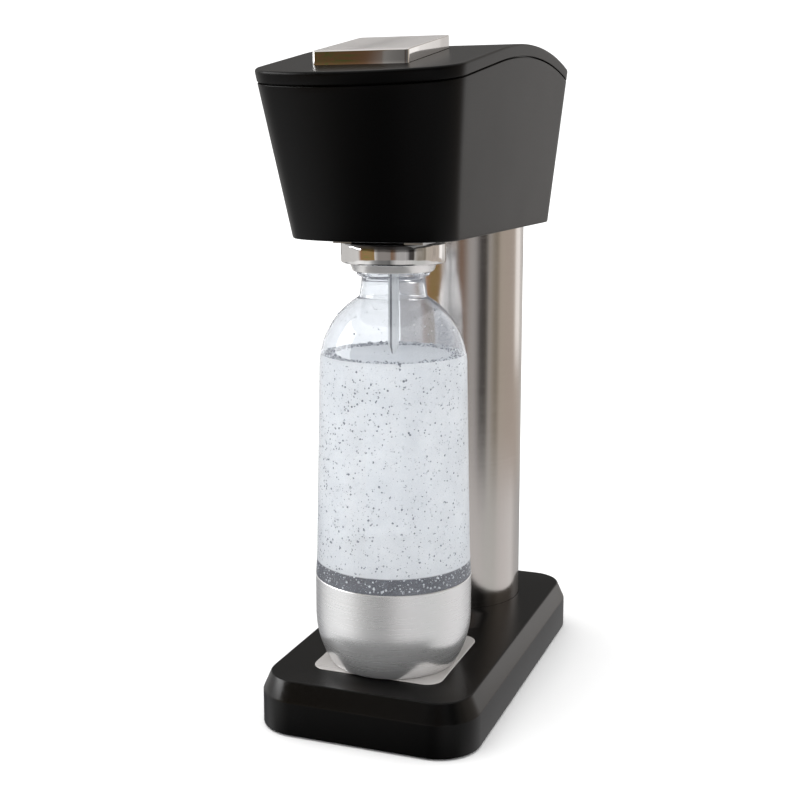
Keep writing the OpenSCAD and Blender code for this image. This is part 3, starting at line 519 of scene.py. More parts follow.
CLEAR = clear_plastic("clear_bottle_plastic", (0.93, 0.95, 0.97), 0.01)
TUBE = striped_tube("tube_plastic", BOTTLE_Y * MM, -0.36, 0.06)
WATER = fizzing_water("fizzing_water", high("bottle_cup")[2] * MM, 0.009)
BUBBLE = bubble_skin("bubble_skin")
print("clear:", CLEAR.name, TUBE.name, WATER.name, BUBBLE.name)

# %% [markdown]
# ## The base
# The base is a moulded tray turned upside down: an upright side, a steep chamfer all round and
# a flat top, open below where a plate closes it. It is built as rings of a rounded rectangle from
# the bottom rim, up the outside, over the top and back down the inside, so it has a real wall.
# Every outside edge gets a small fillet, because a moulded edge always catches a line of light.
# Two booleans then cut the tray's recess and the column's hole.

# %% Rounded rectangle and the base's own shape
def rounded_rectangle(width, depth, radius, corner_steps=12, side_steps=6):
    """Outline about the origin, anticlockwise from the right side's front end."""
    radius = max(radius, 0.05)
    hx, hy = width / 2 - radius, depth / 2 - radius
    points = []
    for cx, cy, start in ((hx, hy, 0), (-hx, hy, 90), (-hx, -hy, 180), (hx, -hy, 270)):
        corner = arc(cx, cy, radius, start, start + 90, corner_steps)
        if points:
            (x0, y0), (x1, y1) = points[-1], corner[0]
            points += [(x0 + (x1 - x0) * t, y0 + (y1 - y0) * t)
                       for t in np.linspace(0, 1, side_steps + 1)[1:-1]]
        points += corner
    (x0, y0), (x1, y1) = points[-1], points[0]
    points += [(x0 + (x1 - x0) * t, y0 + (y1 - y0) * t)
               for t in np.linspace(0, 1, side_steps + 1)[1:-1]]
    return np.array(points)


BASE_W = 2 * half_width("base_shell")
BASE_D = high("base_shell")[1] - low("base_shell")[1]
BASE_LOW = low("base_shell")[2]
BASE_TOP = high("base_shell")[2]
SIDE_TOP = 19.8
CHAMFER = 4.6
BASE_CORNER = 24.0
BASE_WALL = 3.0
BASE_FLAT = 28.0


def base_ring(inset, z):
    plan = rounded_rectangle(BASE_W - 2 * inset, BASE_D - 2 * inset, BASE_CORNER - inset)
    return np.column_stack([plan[:, 0], plan[:, 1] + BASE_Y, np.full(len(plan), z)])


def rounded_path(points, radii, steps=4):
    """A path through corner points with each corner cut round, as (inset, height) pairs."""
    path = [points[0]]
    for before, corner, after, radius in zip(points, points[1:], points[2:], radii):
        b, c, a = (np.array(p, float) for p in (before, corner, after))
        into, out = (b - c) / np.linalg.norm(b - c), (a - c) / np.linalg.norm(a - c)
        half = math.acos(np.clip(into @ out, -1, 1)) / 2
        reach = min(radius / math.tan(half), np.linalg.norm(b - c) * 0.49, np.linalg.norm(a - c) * 0.49)
        start, end = c + into * reach, c + out * reach
        for t in np.linspace(0, 1, steps + 1):
            path.append(tuple((1 - t) ** 2 * start + 2 * t * (1 - t) * c + t * t * end))
    path.append(points[-1])
    return path


base_path = rounded_path(
    [(BASE_WALL, BASE_LOW), (0.0, BASE_LOW), (0.0, SIDE_TOP), (CHAMFER, BASE_TOP), (BASE_FLAT, BASE_TOP)],
    [0.8, 2.2, 1.1])
base_rings = [base_ring(inset, z) for inset, z in base_path]
spine = base_ring(BASE_FLAT, BASE_TOP) * [0, 1, 1]
inner_top = spine - np.array([0, 0, BASE_WALL])
inner_z = BASE_TOP - BASE_WALL
inner_path = [(BASE_FLAT, inner_z), (BASE_WALL + CHAMFER, inner_z), (BASE_WALL, SIDE_TOP)]
base_rings += [spine, inner_top] + [base_ring(inset, z) for inset, z in inner_path]
base_body = from_rings("base_body", base_rings, closed=True)
print("base rings:", len(base_rings), "of", len(base_rings[0]), "points")

# %% [markdown]
# A boolean is the plainest way to let one shape into another. The cutting solids are simple
# prisms over an outline, a fifth of a millimetre wider than what goes in, because moulded plastic
# and sheet steel are never an exact fit. Once the result is kept as a plain mesh, they go.

# %% Cut the tray's recess and the column's hole
def prism(name, outline, z0, z1):
    """A closed solid between two heights over an outline, for cutting."""
    lower = np.column_stack([outline, np.full(len(outline), z0)])
    upper = np.column_stack([outline, np.full(len(outline), z1)])
    count = len(outline)
    faces = [tuple(range(count)), tuple(range(2 * count - 1, count - 1, -1))]
    faces += [(k, (k + 1) % count, count + (k + 1) % count, count + k) for k in range(count)]
    return new_piece(name, np.concatenate([lower, upper]), faces)


def cut(piece, *tools):
    """Takes the tools' solids out of the piece and throws the tools away."""
    for tool in tools:
        boolean = piece.modifiers.new("cut", "BOOLEAN")
        boolean.operation = "DIFFERENCE"
        boolean.solver = "EXACT"
        boolean.object = tool
    graph = bpy.context.evaluated_depsgraph_get()
    result = bpy.data.meshes.new_from_object(piece.evaluated_get(graph))
    piece.modifiers.clear()
    piece.data = result
    for tool in tools:
        bpy.data.objects.remove(tool)
    return piece


TRAY_GAP = 0.2
TRAY_W = 2 * half_width("drip_tray")
TRAY_D = high("drip_tray")[1] - low("drip_tray")[1]
TRAY_Y = middle("drip_tray")[1]
TRAY_CORNER = 9.0
recess = rounded_rectangle(TRAY_W + 2 * TRAY_GAP, TRAY_D + 2 * TRAY_GAP, TRAY_CORNER + TRAY_GAP)
hole = np.array(arc(0, COLUMN_Y, half_width("column_tube") + TRAY_GAP, 0, 360, 128)[:-1])
cut(base_body,
    prism("recess", recess + [0, TRAY_Y], low("drip_tray")[2], BASE_TOP + 5),
    prism("hole", hole, BASE_TOP - 2 * BASE_WALL, BASE_TOP + 5))
finish(base_body, "machine", ["base_shell"], [BASE_BLACK])

# %% [markdown]
# ## The drip tray
# A steel plate lies in the recess and stands a hair proud of it. Its edge is rolled, which shows
# as a thin bright line along the side that faces the light.

# %% Tray plate with a rolled edge
TRAY_FLAT = 20.0


def to_line(ring):
    """The ring pressed flat onto its middle line, where a stack of rings can end."""
    line = ring.copy()
    line[:, 0] = 0.0
    return line


def tray_ring(inset, z):
    plan = rounded_rectangle(TRAY_W - 2 * inset, TRAY_D - 2 * inset, TRAY_CORNER - inset, 10)
    return np.column_stack([plan[:, 0], plan[:, 1] + TRAY_Y, np.full(len(plan), z)])


tray_low, tray_top = low("drip_tray")[2], high("drip_tray")[2]
tray_corners = [(TRAY_FLAT, tray_low), (0.0, tray_low), (0.0, tray_top), (TRAY_FLAT, tray_top)]
tray_rings = [tray_ring(inset, z) for inset, z in rounded_path(tray_corners, [0.4, 0.55])]
tray = from_rings("drip_tray_plate", [to_line(tray_rings[0]), *tray_rings, to_line(tray_rings[-1])])
finish(tray, "machine", ["drip_tray"], [TRAY_STEEL])

# %% [markdown]
# ## The column
# The column is a thin steel tube with the gas cylinder inside. It is a mirror in plan and
# brushed in height, so it shows its surroundings as long upright streaks: it needs enough sides
# for the streaks to run smoothly.

# %% Column tube
COLUMN_WALL = 1.2
column_out = half_width("column_tube")
column_in = column_out - COLUMN_WALL
column_low, column_top = low("column_tube")[2], high("column_tube")[2]
column_section = [(column_in, column_low), (column_out, column_low)]
column_section += [(column_out, column_top), (column_in, column_top)]
column = lathe("column_sleeve", column_section, y=COLUMN_Y, sides=192)
finish(column, "machine", ["column_tube"], [COLUMN_STEEL])

# %% [markdown]
# ## The head
# The head is the machine's face: a plan with a bowed front and round corners that gets smaller
# towards the bottom, cut off above by a slope that runs up into a hump. A lid covers it, with
# a shadow gap between lid and housing. Both are built from one family of rings. A ring follows
# the wall at a given inset, a given drop below the top surface, and so it bends with the hump.

# %% Sizes of the head and its top surface
HEAD_LOW = low("head_housing")[2]
HEAD_FRONT = -127.5
HEAD_BACK = high("head_housing")[1]
FRONT_TOP = HEAD_LOW + 83.4
HEAD_W = 111.8
SIDE_LEAN = 0.12
FRONT_LEAN = 0.27
FRONT_BOW = 18.0
FRONT_CORNER = 25.0
BACK_CORNER = 14.0
SLOPE = math.radians(10.2)
HUMP_Y = BASE_Y - 50.0
HUMP_R = 400.0
HUMP_Z = FRONT_TOP + math.tan(SLOPE) * (HUMP_Y - HEAD_FRONT)
HUMP_CY = HUMP_Y + HUMP_R * math.sin(SLOPE)
HUMP_CZ = HUMP_Z - HUMP_R * math.cos(SLOPE)
SIDE_POINTS = 44


def slope_z(y):
    return FRONT_TOP + math.tan(SLOPE) * (np.asarray(y) - HEAD_FRONT)


def top_z(y):
    """Height of the head's top surface: a straight slope, then the hump."""
    y = np.asarray(y, float)
    hump = HUMP_CZ + np.sqrt(np.maximum(HUMP_R ** 2 - (y - HUMP_CY) ** 2, 0))
    return np.where(y < HUMP_Y, slope_z(y), hump)


# %% [markdown]
# The plan has eight stretches: the bow, two front corners, two sides, two back corners and the
# back. Each keeps its number of points at every height, so rings of different heights still join
# point to point.

# %% Outline of the head at any height
def head_plan(z, inset):
    """Outline at one height or at a height for each point, drawn in by inset."""
    half_w = HEAD_W / 2 - SIDE_LEAN * (FRONT_TOP - z)
    front = HEAD_FRONT + FRONT_LEAN * (FRONT_TOP - z) + inset
    bow = (half_w ** 2 + FRONT_BOW ** 2) / (2 * FRONT_BOW) - inset
    w, back = half_w - inset, HEAD_BACK - inset
    rf, rb = FRONT_CORNER - inset, BACK_CORNER - inset
    cx = w - rf
    cy = front + bow - np.sqrt((bow - rf) ** 2 - cx ** 2)
    turn = np.degrees(np.arcsin(cx / (bow - rf)))
    return front, bow, w, back, rf, rb, cx, cy, turn


def head_points(z, inset):
    """The outline's points, with each point's own height if z is a list of heights."""
    parts = []

    def add_arc(centre_x, centre_y, radius, start, end, t):
        angle = np.radians(start + (end - start) * t)
        parts.append(np.stack([centre_x + radius * np.cos(angle), centre_y + radius * np.sin(angle)], 1))

    def add_line(x0, y0, x1, y1, t):
        parts.append(np.stack([x0 + (x1 - x0) * t, y0 + (y1 - y0) * t], 1))

    counts = [33, 12, SIDE_POINTS, 10, 9, 10, SIDE_POINTS, 12]
    starts = np.cumsum([0] + counts)
    z = np.broadcast_to(np.asarray(z, float), (starts[-1],))
    for k, count in enumerate(counts):
        here = z[starts[k]:starts[k + 1]]
        front, bow, w, back, rf, rb, cx, cy, turn = head_plan(here, inset)
        even = np.linspace(0, 1, count)
        inner = (np.arange(count) + 1) / (count + 1)
        later = (np.arange(count) + 1) / count
        if k == 0:
            add_arc(0, front + bow, bow, -90 - turn, -90 + turn, even)
        elif k == 1:
            add_arc(cx, cy, rf, -90 + turn, 0 * turn, later)
        elif k == 2:
            add_line(w, cy, w, back - rb, inner)
        elif k == 3:
            add_arc(w - rb, back - rb, rb, 0, 90, even)
        elif k == 4:
            add_line(w - rb, back, rb - w, back, inner)
        elif k == 5:
            add_arc(rb - w, back - rb, rb, 90, 180, even)
        elif k == 6:
            add_line(-w, back - rb, -w, cy, inner)
        else:
            add_arc(-cx, cy, rf, 180 + 0 * turn, 270 - turn, later - 1 / count)
    return np.concatenate(parts)


def ring_below_top(inset, drop, lift=0.0):
    """Ring on the wall at that inset, drop below the top surface straight down."""
    z = np.full(len(head_points(FRONT_TOP, inset)), FRONT_TOP)
    for _ in range(12):
        z = top_z(head_points(z, inset)[:, 1]) - drop
    return np.column_stack([head_points(z, inset), z + lift])


def ring_at(inset, z):
    plan = head_points(z, inset)
    return np.column_stack([plan, np.full(len(plan), z)])


print("head outline:", len(head_points(FRONT_TOP, 0.0)), "points")

# %% [markdown]
# The housing is a closed loop of rings: along the bottom rim, round the bottom edge, up the
# outside to the shadow gap, over its thin upper rim and back down the inside.

# %% Head housing
HEAD_WALL = 2.4
LID_EDGE = 6.6
LID_GAP = 0.8


def rim_rings(path):
    """Rings for (inset, drop) pairs below the top surface."""
    return [ring_below_top(inset, drop) for inset, drop in path]


housing_top = LID_EDGE + LID_GAP
bottom_edge = rounded_path([(HEAD_WALL, HEAD_LOW), (0.0, HEAD_LOW), (0.0, HEAD_LOW + 10)], [2.0], steps=6)
wall_steps = [ring_at(0.0, HEAD_LOW + rise) for rise in (24, 40, 55, 66)]
upper_rim = rounded_path([(0.0, housing_top + 4), (0.0, housing_top), (HEAD_WALL, housing_top)], [0.5])
housing_rings = [ring_at(inset, z) for inset, z in bottom_edge] + wall_steps
housing_rings += rim_rings(upper_rim) + [ring_at(HEAD_WALL, HEAD_LOW + 30)]
housing = from_rings("head_shell", housing_rings, closed=True)
finish(housing, "machine", ["head_housing"], [BLACK])

# %% [markdown]
# The lid starts at its lower rim, rounds over the top edge with a generous fillet, and crosses
# the top in rings that shrink to a line down the middle, so that the slope and the hump stay
# smooth. Underneath it comes back as an inner skin with a lip that drops into the housing.

# %% Head lid
LID_FILLET = 4.4
LIP_DROP = LID_EDGE + 3.0
LIP_INSET = HEAD_WALL + 0.2
LIP_T = 1.6


def towards_middle(ring, share, drop):
    """The ring drawn towards the head's middle line, on the surface drop below the top."""
    goal_y = np.clip(ring[:, 1], HEAD_FRONT + 45, HEAD_BACK - 35)
    xy = np.column_stack([ring[:, 0] * (1 - share), ring[:, 1] + (goal_y - ring[:, 1]) * share])
    return np.column_stack([xy, top_z(xy[:, 1]) - drop])


lower_edge = rounded_path([(LIP_INSET, LID_EDGE), (0.0, LID_EDGE), (0.0, LID_EDGE - 2)], [0.4])
top_edge = rounded_path([(0.0, LID_EDGE - 2.2), (0.0, 0.0), (9.0, 0.0)], [LID_FILLET], steps=7)
lid_rings = rim_rings(lower_edge) + rim_rings(top_edge[1:])
outer_skin = lid_rings[-1]
lid_rings += [towards_middle(outer_skin, share, 0.0) for share in (0.2, 0.4, 0.6, 0.8, 1.0)]
inner_skin = ring_below_top(LIP_INSET + LIP_T, HEAD_WALL)
lid_rings += [towards_middle(inner_skin, share, HEAD_WALL) for share in (1.0, 0.8, 0.6, 0.4, 0.2)]
lid_rings += [inner_skin, ring_below_top(LIP_INSET + LIP_T, LIP_DROP)]
lid_rings += [ring_below_top(LIP_INSET, LIP_DROP)]
lid = from_rings("head_cover", lid_rings, closed=True)

# %% [markdown]
# The button's pocket is its own outline, a little larger all round. The button travels straight
# down, so the pocket's walls are upright.

# %% Cut the button's pocket
POCKET_GAP = 0.6
BUTTON_W = 2 * half_width("push_button")
BUTTON_FRONT, BUTTON_BACK = low("push_button")[1], high("push_button")[1]
BUTTON_CORNER = 2.0
pocket = rounded_rectangle(BUTTON_W + 2 * POCKET_GAP, BUTTON_BACK - BUTTON_FRONT + 2 * POCKET_GAP,
                           BUTTON_CORNER + POCKET_GAP)
BUTTON_Y = (BUTTON_FRONT + BUTTON_BACK) / 2
cut(lid, prism("pocket", pocket + [0, BUTTON_Y], HEAD_LOW + 40, HEAD_LOW + 140))
finish(lid, "machine", ["head_lid"], [BLACK])

# %% [markdown]
# ## The button
# The button is a chrome-plated block whose top lies parallel to the slope. Its sides are
# polished and its top is satin, so it carries two materials, split by a face's height on the
# block. The edges are small fillets: on chrome they are the brightest lines of all.

# %% Chrome button
BUTTON_UP = high("push_button")[2] - float(slope_z(BUTTON_BACK))
BUTTON_SKIRT = low("push_button")[2] - float(slope_z(BUTTON_FRONT))
BUTTON_WALL = 1.4
BUTTON_FLAT = 12


def button_ring(inset, up):
    plan = rounded_rectangle(BUTTON_W - 2 * inset, BUTTON_BACK - BUTTON_FRONT - 2 * inset,
                             BUTTON_CORNER - min(inset, 1.4), 8, 4)
    y = plan[:, 1] + BUTTON_Y
    return np.column_stack([plan[:, 0], y, slope_z(y) + up])


button_corners = [(BUTTON_WALL, BUTTON_SKIRT), (0, BUTTON_SKIRT), (0, BUTTON_UP), (BUTTON_FLAT, BUTTON_UP)]
button_rings = [button_ring(inset, up) for inset, up in rounded_path(button_corners, [0.3, 0.9], 5)]
inner_flat = button_ring(BUTTON_FLAT, BUTTON_UP - BUTTON_WALL)
button_rings += [to_line(button_rings[-1]), to_line(inner_flat), inner_flat]
button_rings += [button_ring(BUTTON_WALL, BUTTON_UP - BUTTON_WALL)]
button = from_rings("press_button", button_rings, closed=True)
button.data.materials.append(CHROME)
button.data.materials.append(SATIN_TOP)
for face in button.data.polygons:
    y, z = face.center[1] / MM, face.center[2] / MM
    if face.normal[2] > 0.9 and z > float(slope_z(y)) + BUTTON_UP - 0.1:
        face.material_index = 1
finish(button, "button", ["push_button"], [CHROME, SATIN_TOP])

# %% [markdown]
# ## Geometry Nodes
# What repeats is grown by a node tree: flutes round the grip ring, screws, coils and bubbles. The
# same small class that writes shader maths also writes these trees. A helper makes an empty tree
# with named inputs, and another runs it once and keeps the result as a plain mesh.

# %% Helpers to build and run a tree
SOCKETS = {float: "NodeSocketFloat", int: "NodeSocketInt", bpy.types.Material: "NodeSocketMaterial",
           tuple: "NodeSocketVector"}


def new_tree(name, **defaults):
    """A tree with a Geometry input and output and one input for each named default."""
    tree = bpy.data.node_groups.new(name, "GeometryNodeTree")
    tree.interface.new_socket("Geometry", in_out="INPUT", socket_type="NodeSocketGeometry")
    tree.interface.new_socket("Geometry", in_out="OUTPUT", socket_type="NodeSocketGeometry")
    for key, value in defaults.items():
        kind = next(SOCKETS[t] for t in SOCKETS if isinstance(value, t))
        tree.interface.new_socket(key.replace("_", " "), in_out="INPUT", socket_type=kind)
    group = tree.nodes.new("NodeGroupInput")
    inputs = {socket.name: Wire(tree, socket) for socket in group.outputs if socket.name}
    return tree, inputs


def close_tree(tree, geometry, material):
    """Ends a tree as every tree here ends: real geometry with its material set."""
    real = geometry.add("GeometryNodeRealizeInstances", None, {0: geometry})
    done = real.add("GeometryNodeSetMaterial", None, {"Geometry": real, "Material": material})
    output = tree.nodes.new("NodeGroupOutput")
    tree.links.new(done.socket, output.inputs[0])


def grow(name, tree, base_mesh=None, **values):
    """Runs a tree on a mesh with these inputs and returns the result as a plain mesh object."""
    seed_mesh = base_mesh or bpy.data.meshes.new(name + "_seed")
    piece = bpy.data.objects.new(name, seed_mesh)
    bpy.context.scene.collection.objects.link(piece)
    modifier = piece.modifiers.new("grow", "NODES")
    modifier.node_group = tree
    for item in tree.interface.items_tree:
        key = item.name.replace(" ", "_")
        if item.in_out == "INPUT" and key in values:
            modifier[item.identifier] = values[key]
    graph = bpy.context.evaluated_depsgraph_get()
    result = bpy.data.meshes.new_from_object(piece.evaluated_get(graph))
    piece.modifiers.clear()
    piece.data = result
    work = bmesh.new()
    work.from_mesh(result)
    bmesh.ops.remove_doubles(work, verts=work.verts, dist=1e-7)
    bmesh.ops.recalc_face_normals(work, faces=work.faces)
    work.to_mesh(result)
    work.free()
    print(f"grew {name}: {len(result.polygons)} faces")
    return piece


# %% [markdown]
# ## The grip ring
# The chrome ring round the bottle's cap is what the hand turns. It is a turned section with
# shallow flutes cut round its outside, and a thin lip that laps over the skirt. The tree lays a
# grid over (angle, place on the section), reads the section's points, and pushes the outer ones
# in along a wave of the angle.

# %% Tree that turns a fluted section
def fluted_tree():
    tree, given = new_tree("fluted_section", Sides=96, Rows=10, Flutes=24, Flute_Depth=0.0006,
                           Axis_Y=0.0, Material=CHROME)
    wire = Wire(tree)
    columns = given["Sides"].maths("ADD", given["Sides"], 1)
    grid = wire.add("GeometryNodeMeshGrid", None, {"Vertices X": columns, "Vertices Y": given["Rows"]})
    index = wire.add("GeometryNodeInputIndex")
    column = wire.maths("FLOOR", index / given["Rows"])
    row = index - column * given["Rows"]
    angle = column * (2 * math.pi) / given["Sides"]
    point = wire.add("GeometryNodeSampleIndex", {"data_type": "FLOAT_VECTOR", "domain": "POINT"},
                     {"Geometry": given["Geometry"], "Index": row,
                      "Value": wire.add("GeometryNodeInputPosition")})
    radius, mask, height = point.axes()
    wave = wire.maths("COSINE", angle * given["Flutes"])
    hollow = wire.maths("POWER", wave * 0.5 + 0.5, 1.5) * given["Flute Depth"] * mask
    out = radius - hollow
    place = wire.add("ShaderNodeCombineXYZ", None,
                     {"X": out * wire.maths("COSINE", angle),
                      "Y": out * wire.maths("SINE", angle) + given["Axis Y"], "Z": height})
    moved = wire.add("GeometryNodeSetPosition", None, {"Geometry": grid, "Position": place})
    close_tree(tree, moved, given["Material"])
    return tree


def section_mesh(name, section):
    """The section's points as a mesh: radius in X, how deep the flutes cut in Y, height in Z."""
    mesh = bpy.data.meshes.new(name)
    mesh.from_pydata([(r * MM, flute, z * MM) for r, flute, z in section], [], [])
    return mesh


FLUTED = fluted_tree()
print("tree:", FLUTED.name, "with", len(FLUTED.nodes), "nodes")

# %% [markdown]
# The ring's section is given to the tree as loose points. Each has a radius, how deep the flutes
# cut there, and a height: the flutes fade out towards the rounded rims, and the bore has none.

# %% Grip ring
RING_LIP = 1.5
ring_low, ring_top = low("collar_ring")[2] - RING_LIP, high("collar_ring")[2]
ring_r = half_width("collar_ring")
RING_BORE, RING_HOLE, RING_WEB = 18.3, 12.8, 1.3
FLUTES = 18
lower_rim = [(ring_r - 2.4, 0, ring_low), (ring_r - 1.2, 0.2, ring_low + 0.1)]
lower_rim += [(ring_r - 0.35, 0.8, ring_low + 0.5), (ring_r, 1, ring_low + 1.3)]
outer_section = lower_rim + [(ring_r, 1, ring_top - 0.9), (ring_r - 0.3, 0.8, ring_top - 0.25)]
outer_section += [(ring_r - 1.0, 0.2, ring_top)]
inner_section = [(RING_HOLE, 0, ring_top), (RING_HOLE, 0, ring_top - RING_WEB)]
inner_section += [(RING_BORE, 0, ring_top - RING_WEB), (RING_BORE, 0, ring_low)]
section = outer_section + inner_section + outer_section[:1]
ring = grow("grip_ring", FLUTED, section_mesh("ring_section", section), Sides=384, Rows=len(section),
            Flutes=FLUTES, Flute_Depth=0.00014, Axis_Y=BOTTLE_Y * MM, Material=CHROME)
finish(ring, "collar", ["collar_ring"], [CHROME])

# %% [markdown]
# Under the ring a plain skirt tapers in to the bottle's neck. It has no flutes, so it is a simple
# turned section, and its plate is more satin than the ring's.

# %% Plain skirt under the ring
skirt_low, skirt_top = low("collar_skirt")[2], ring_low
skirt_r = half_width("collar_skirt")
SKIRT_END = 22.4
skirt_section = [(RING_BORE, skirt_low), (SKIRT_END - 0.5, skirt_low), (SKIRT_END, skirt_low + 0.4)]
skirt_section += [(skirt_r - 0.7, skirt_top - 1.1), (skirt_r - 0.2, skirt_top - 0.4), (skirt_r, skirt_top)]
skirt_section += [(RING_BORE, skirt_top)]
skirt = lathe("collar_cone", skirt_section, y=BOTTLE_Y, sides=160)
finish(skirt, "collar", ["collar_skirt"], [SATIN_CHROME])

# %% [markdown]
# ## The bottle
# The bottle is blown plastic: a thin wall that runs from the foot hidden in the cup, up the
# straight body, over a domed shoulder to the neck, a thick support ring and the thread. It is
# one closed section, outside and inside, turned round its axis.

# %% Sizes and curves of the bottle and its cup
CUP_TOP = high("bottle_cup")[2]
FOOT = low("bottle_cup")[2]
BODY_R, SHOULDER_R, NECK_R, SUPPORT_R = 43.0, 41.0, 16.6, 20.1
NECK_BASE_R = 20.0
SUPPORT_TOP = skirt_low - 0.3
NECK_TOP = SUPPORT_TOP - 2.0
SHOULDER_Z = NECK_TOP - 12.5
DOME_H = 38.0
DOME_LOW = SHOULDER_Z - DOME_H
MOUTH = high("bottle")[2]
WALL = 1.0
dome_in = SHOULDER_R - NECK_BASE_R
DOME_R = (dome_in ** 2 + DOME_H ** 2) / (2 * dome_in)
DOME_TURN = math.degrees(math.asin(DOME_H / DOME_R))
CUP_R, CUP_FOOT_R, CUP_WIDE = 44.0, 36.0, FOOT + 29.0


def cup_curve(inset, steps=14):
    """The cup's side from its flat foot round to its widest place, drawn in by inset."""
    points = [(CUP_FOOT_R, FOOT + inset)]
    for k in range(1, steps + 1):
        rise = k / steps
        points.append((CUP_FOOT_R + (CUP_R - inset - CUP_FOOT_R) * (1 - (1 - rise) ** 2.2),
                       FOOT + inset + (CUP_WIDE - FOOT - inset) * rise))
    return points


def thread(bottom, count, pitch):
    """Rounded ridges, one above another."""
    points = []
    for k in range(count):
        z = bottom + k * pitch
        points += [(NECK_R, z), (NECK_R + 1.1, z + 0.5), (NECK_R + 1.3, z + 0.9)]
        points += [(NECK_R + 1.1, z + 1.3), (NECK_R, z + 1.8)]
    return points


print("dome radius", round(DOME_R, 1), " shoulder at", round(SHOULDER_Z, 1))

# %% [markdown]
# The section runs up the outside from the foot and back down the inside. Just above the cup the
# wall bulges by nearly a millimetre, so that it is almost flush with the cup's rim.

# %% Bottle
outside = [(0.0, FOOT + 4), (CUP_FOOT_R - 8, FOOT + 4)] + cup_curve(1.2) + [(BODY_R, CUP_TOP - 4)]
outside += [(BODY_R, CUP_TOP + 0.2), (CUP_R - 0.1, CUP_TOP + 0.25), (CUP_R - 0.15, CUP_TOP + 2.0)]
outside += [(BODY_R + 0.6, CUP_TOP + 6.0), (BODY_R + 0.2, CUP_TOP + 13.0)]
outside += arc(SHOULDER_R - DOME_R, DOME_LOW, DOME_R, 0, DOME_TURN, 30)
outside += [(19.1, SHOULDER_Z + 0.6), (18.7, SHOULDER_Z + 1.3), (18.4, SHOULDER_Z + 3.0)]
outside += [(18.0, SHOULDER_Z + 6.0), (17.6, SHOULDER_Z + 9.0), (17.5, NECK_TOP - 1.2)]
outside += [(17.9, NECK_TOP - 0.3)]
outside += [(SUPPORT_R - 0.5, NECK_TOP), (SUPPORT_R, NECK_TOP + 0.5), (SUPPORT_R, SUPPORT_TOP - 0.5)]
outside += [(SUPPORT_R - 0.5, SUPPORT_TOP), (NECK_R, SUPPORT_TOP)]
outside += thread(MOUTH - 8.4, 2, 4.0) + [(NECK_R, MOUTH - 0.3), (NECK_R - 0.3, MOUTH)]
inside = [(0.0, FOOT + 5), (CUP_FOOT_R - 8, FOOT + 5)] + cup_curve(1.2 + WALL)
inside += [(BODY_R - WALL, CUP_TOP - 4), (BODY_R - WALL, CUP_TOP + 4)]
inside += arc(SHOULDER_R - DOME_R, DOME_LOW, DOME_R - WALL, 0, DOME_TURN, 30)
inside += [(17.6, SHOULDER_Z + 0.4), (17.0, SHOULDER_Z + 1.8), (16.6, SHOULDER_Z + 5.0)]
inside += [(16.0, NECK_TOP - 3.0), (14.8, NECK_TOP), (14.8, MOUTH)]
bottle = lathe("clear_bottle", outside + inside[::-1], y=BOTTLE_Y, sides=128)
finish(bottle, "bottle_unit", ["bottle"], [CLEAR])

# %% [markdown]
# The water fills the bottle to just under the tube's tip. Its wall lies a fifth of a millimetre
# inside the plastic, so that no sliver of air is left between them to show as a silvery skin. Its
# surface climbs a little where it meets the wall.

# %% Water
WATER_TOP = low("nozzle_tip")[2] - 0.3
SINK = -0.2
water = [(0.0, FOOT + 5 + SINK), (CUP_FOOT_R - 8, FOOT + 5 + SINK)] + cup_curve(1.2 + WALL + SINK)
water += [(BODY_R - WALL - SINK, CUP_TOP - 4), (BODY_R - WALL - SINK, CUP_TOP + 4)]
wall_arc = arc(SHOULDER_R - DOME_R, DOME_LOW, DOME_R - WALL - SINK, 0, DOME_TURN, 60)
water += [point for point in wall_arc if point[1] < WATER_TOP]
edge_r = water[-1][0]
water += [(edge_r - 0.05, WATER_TOP + 0.9), (edge_r - 0.9, WATER_TOP + 0.35)]
water += [(edge_r - 2.2, WATER_TOP + 0.08), (edge_r - 4.5, WATER_TOP), (0.0, WATER_TOP)]
water_piece = lathe("fizzing_water", water, y=BOTTLE_Y, sides=128)
finish(water_piece, "bottle_unit", [], [WATER])

# %% [markdown]
# ## Steel cup
# A spun steel cup holds the bottle's foot. It is brushed as it turns, so its highlights are soft
# upright bands.

# %% Cup section
cup_out = [(0.0, FOOT + 2), (CUP_FOOT_R - 6, FOOT + 2), (CUP_FOOT_R - 3, FOOT)] + cup_curve(0.0, 20)
cup_out += [(CUP_R, FOOT + 36), (CUP_R, CUP_TOP - 0.4), (CUP_R - 0.25, CUP_TOP)]
cup_out += [(CUP_R - 0.65, CUP_TOP), (CUP_R - 0.9, CUP_TOP - 0.4)]
cup_in = [(CUP_R - 0.9, CUP_TOP - 3)] + cup_curve(1.0, 20)[::-1]
cup_in += [(CUP_FOOT_R - 3, FOOT + 1), (CUP_FOOT_R - 6, FOOT + 3), (0.0, FOOT + 3)]
cup = lathe("steel_cup", cup_out + cup_in, y=BOTTLE_Y, sides=160)
finish(cup, "bottle_unit", ["bottle_cup"], [CUP_STEEL])

# %% [markdown]
# ## Bubbles
# Bubbles cling to the bottle's wall and rise through the water. The tree scatters points on a thin
# wall just inside the bottle and puts a tiny ball on each, with a size drawn from a fixed seed.
# A ball has only twenty faces, because there are thousands of them.

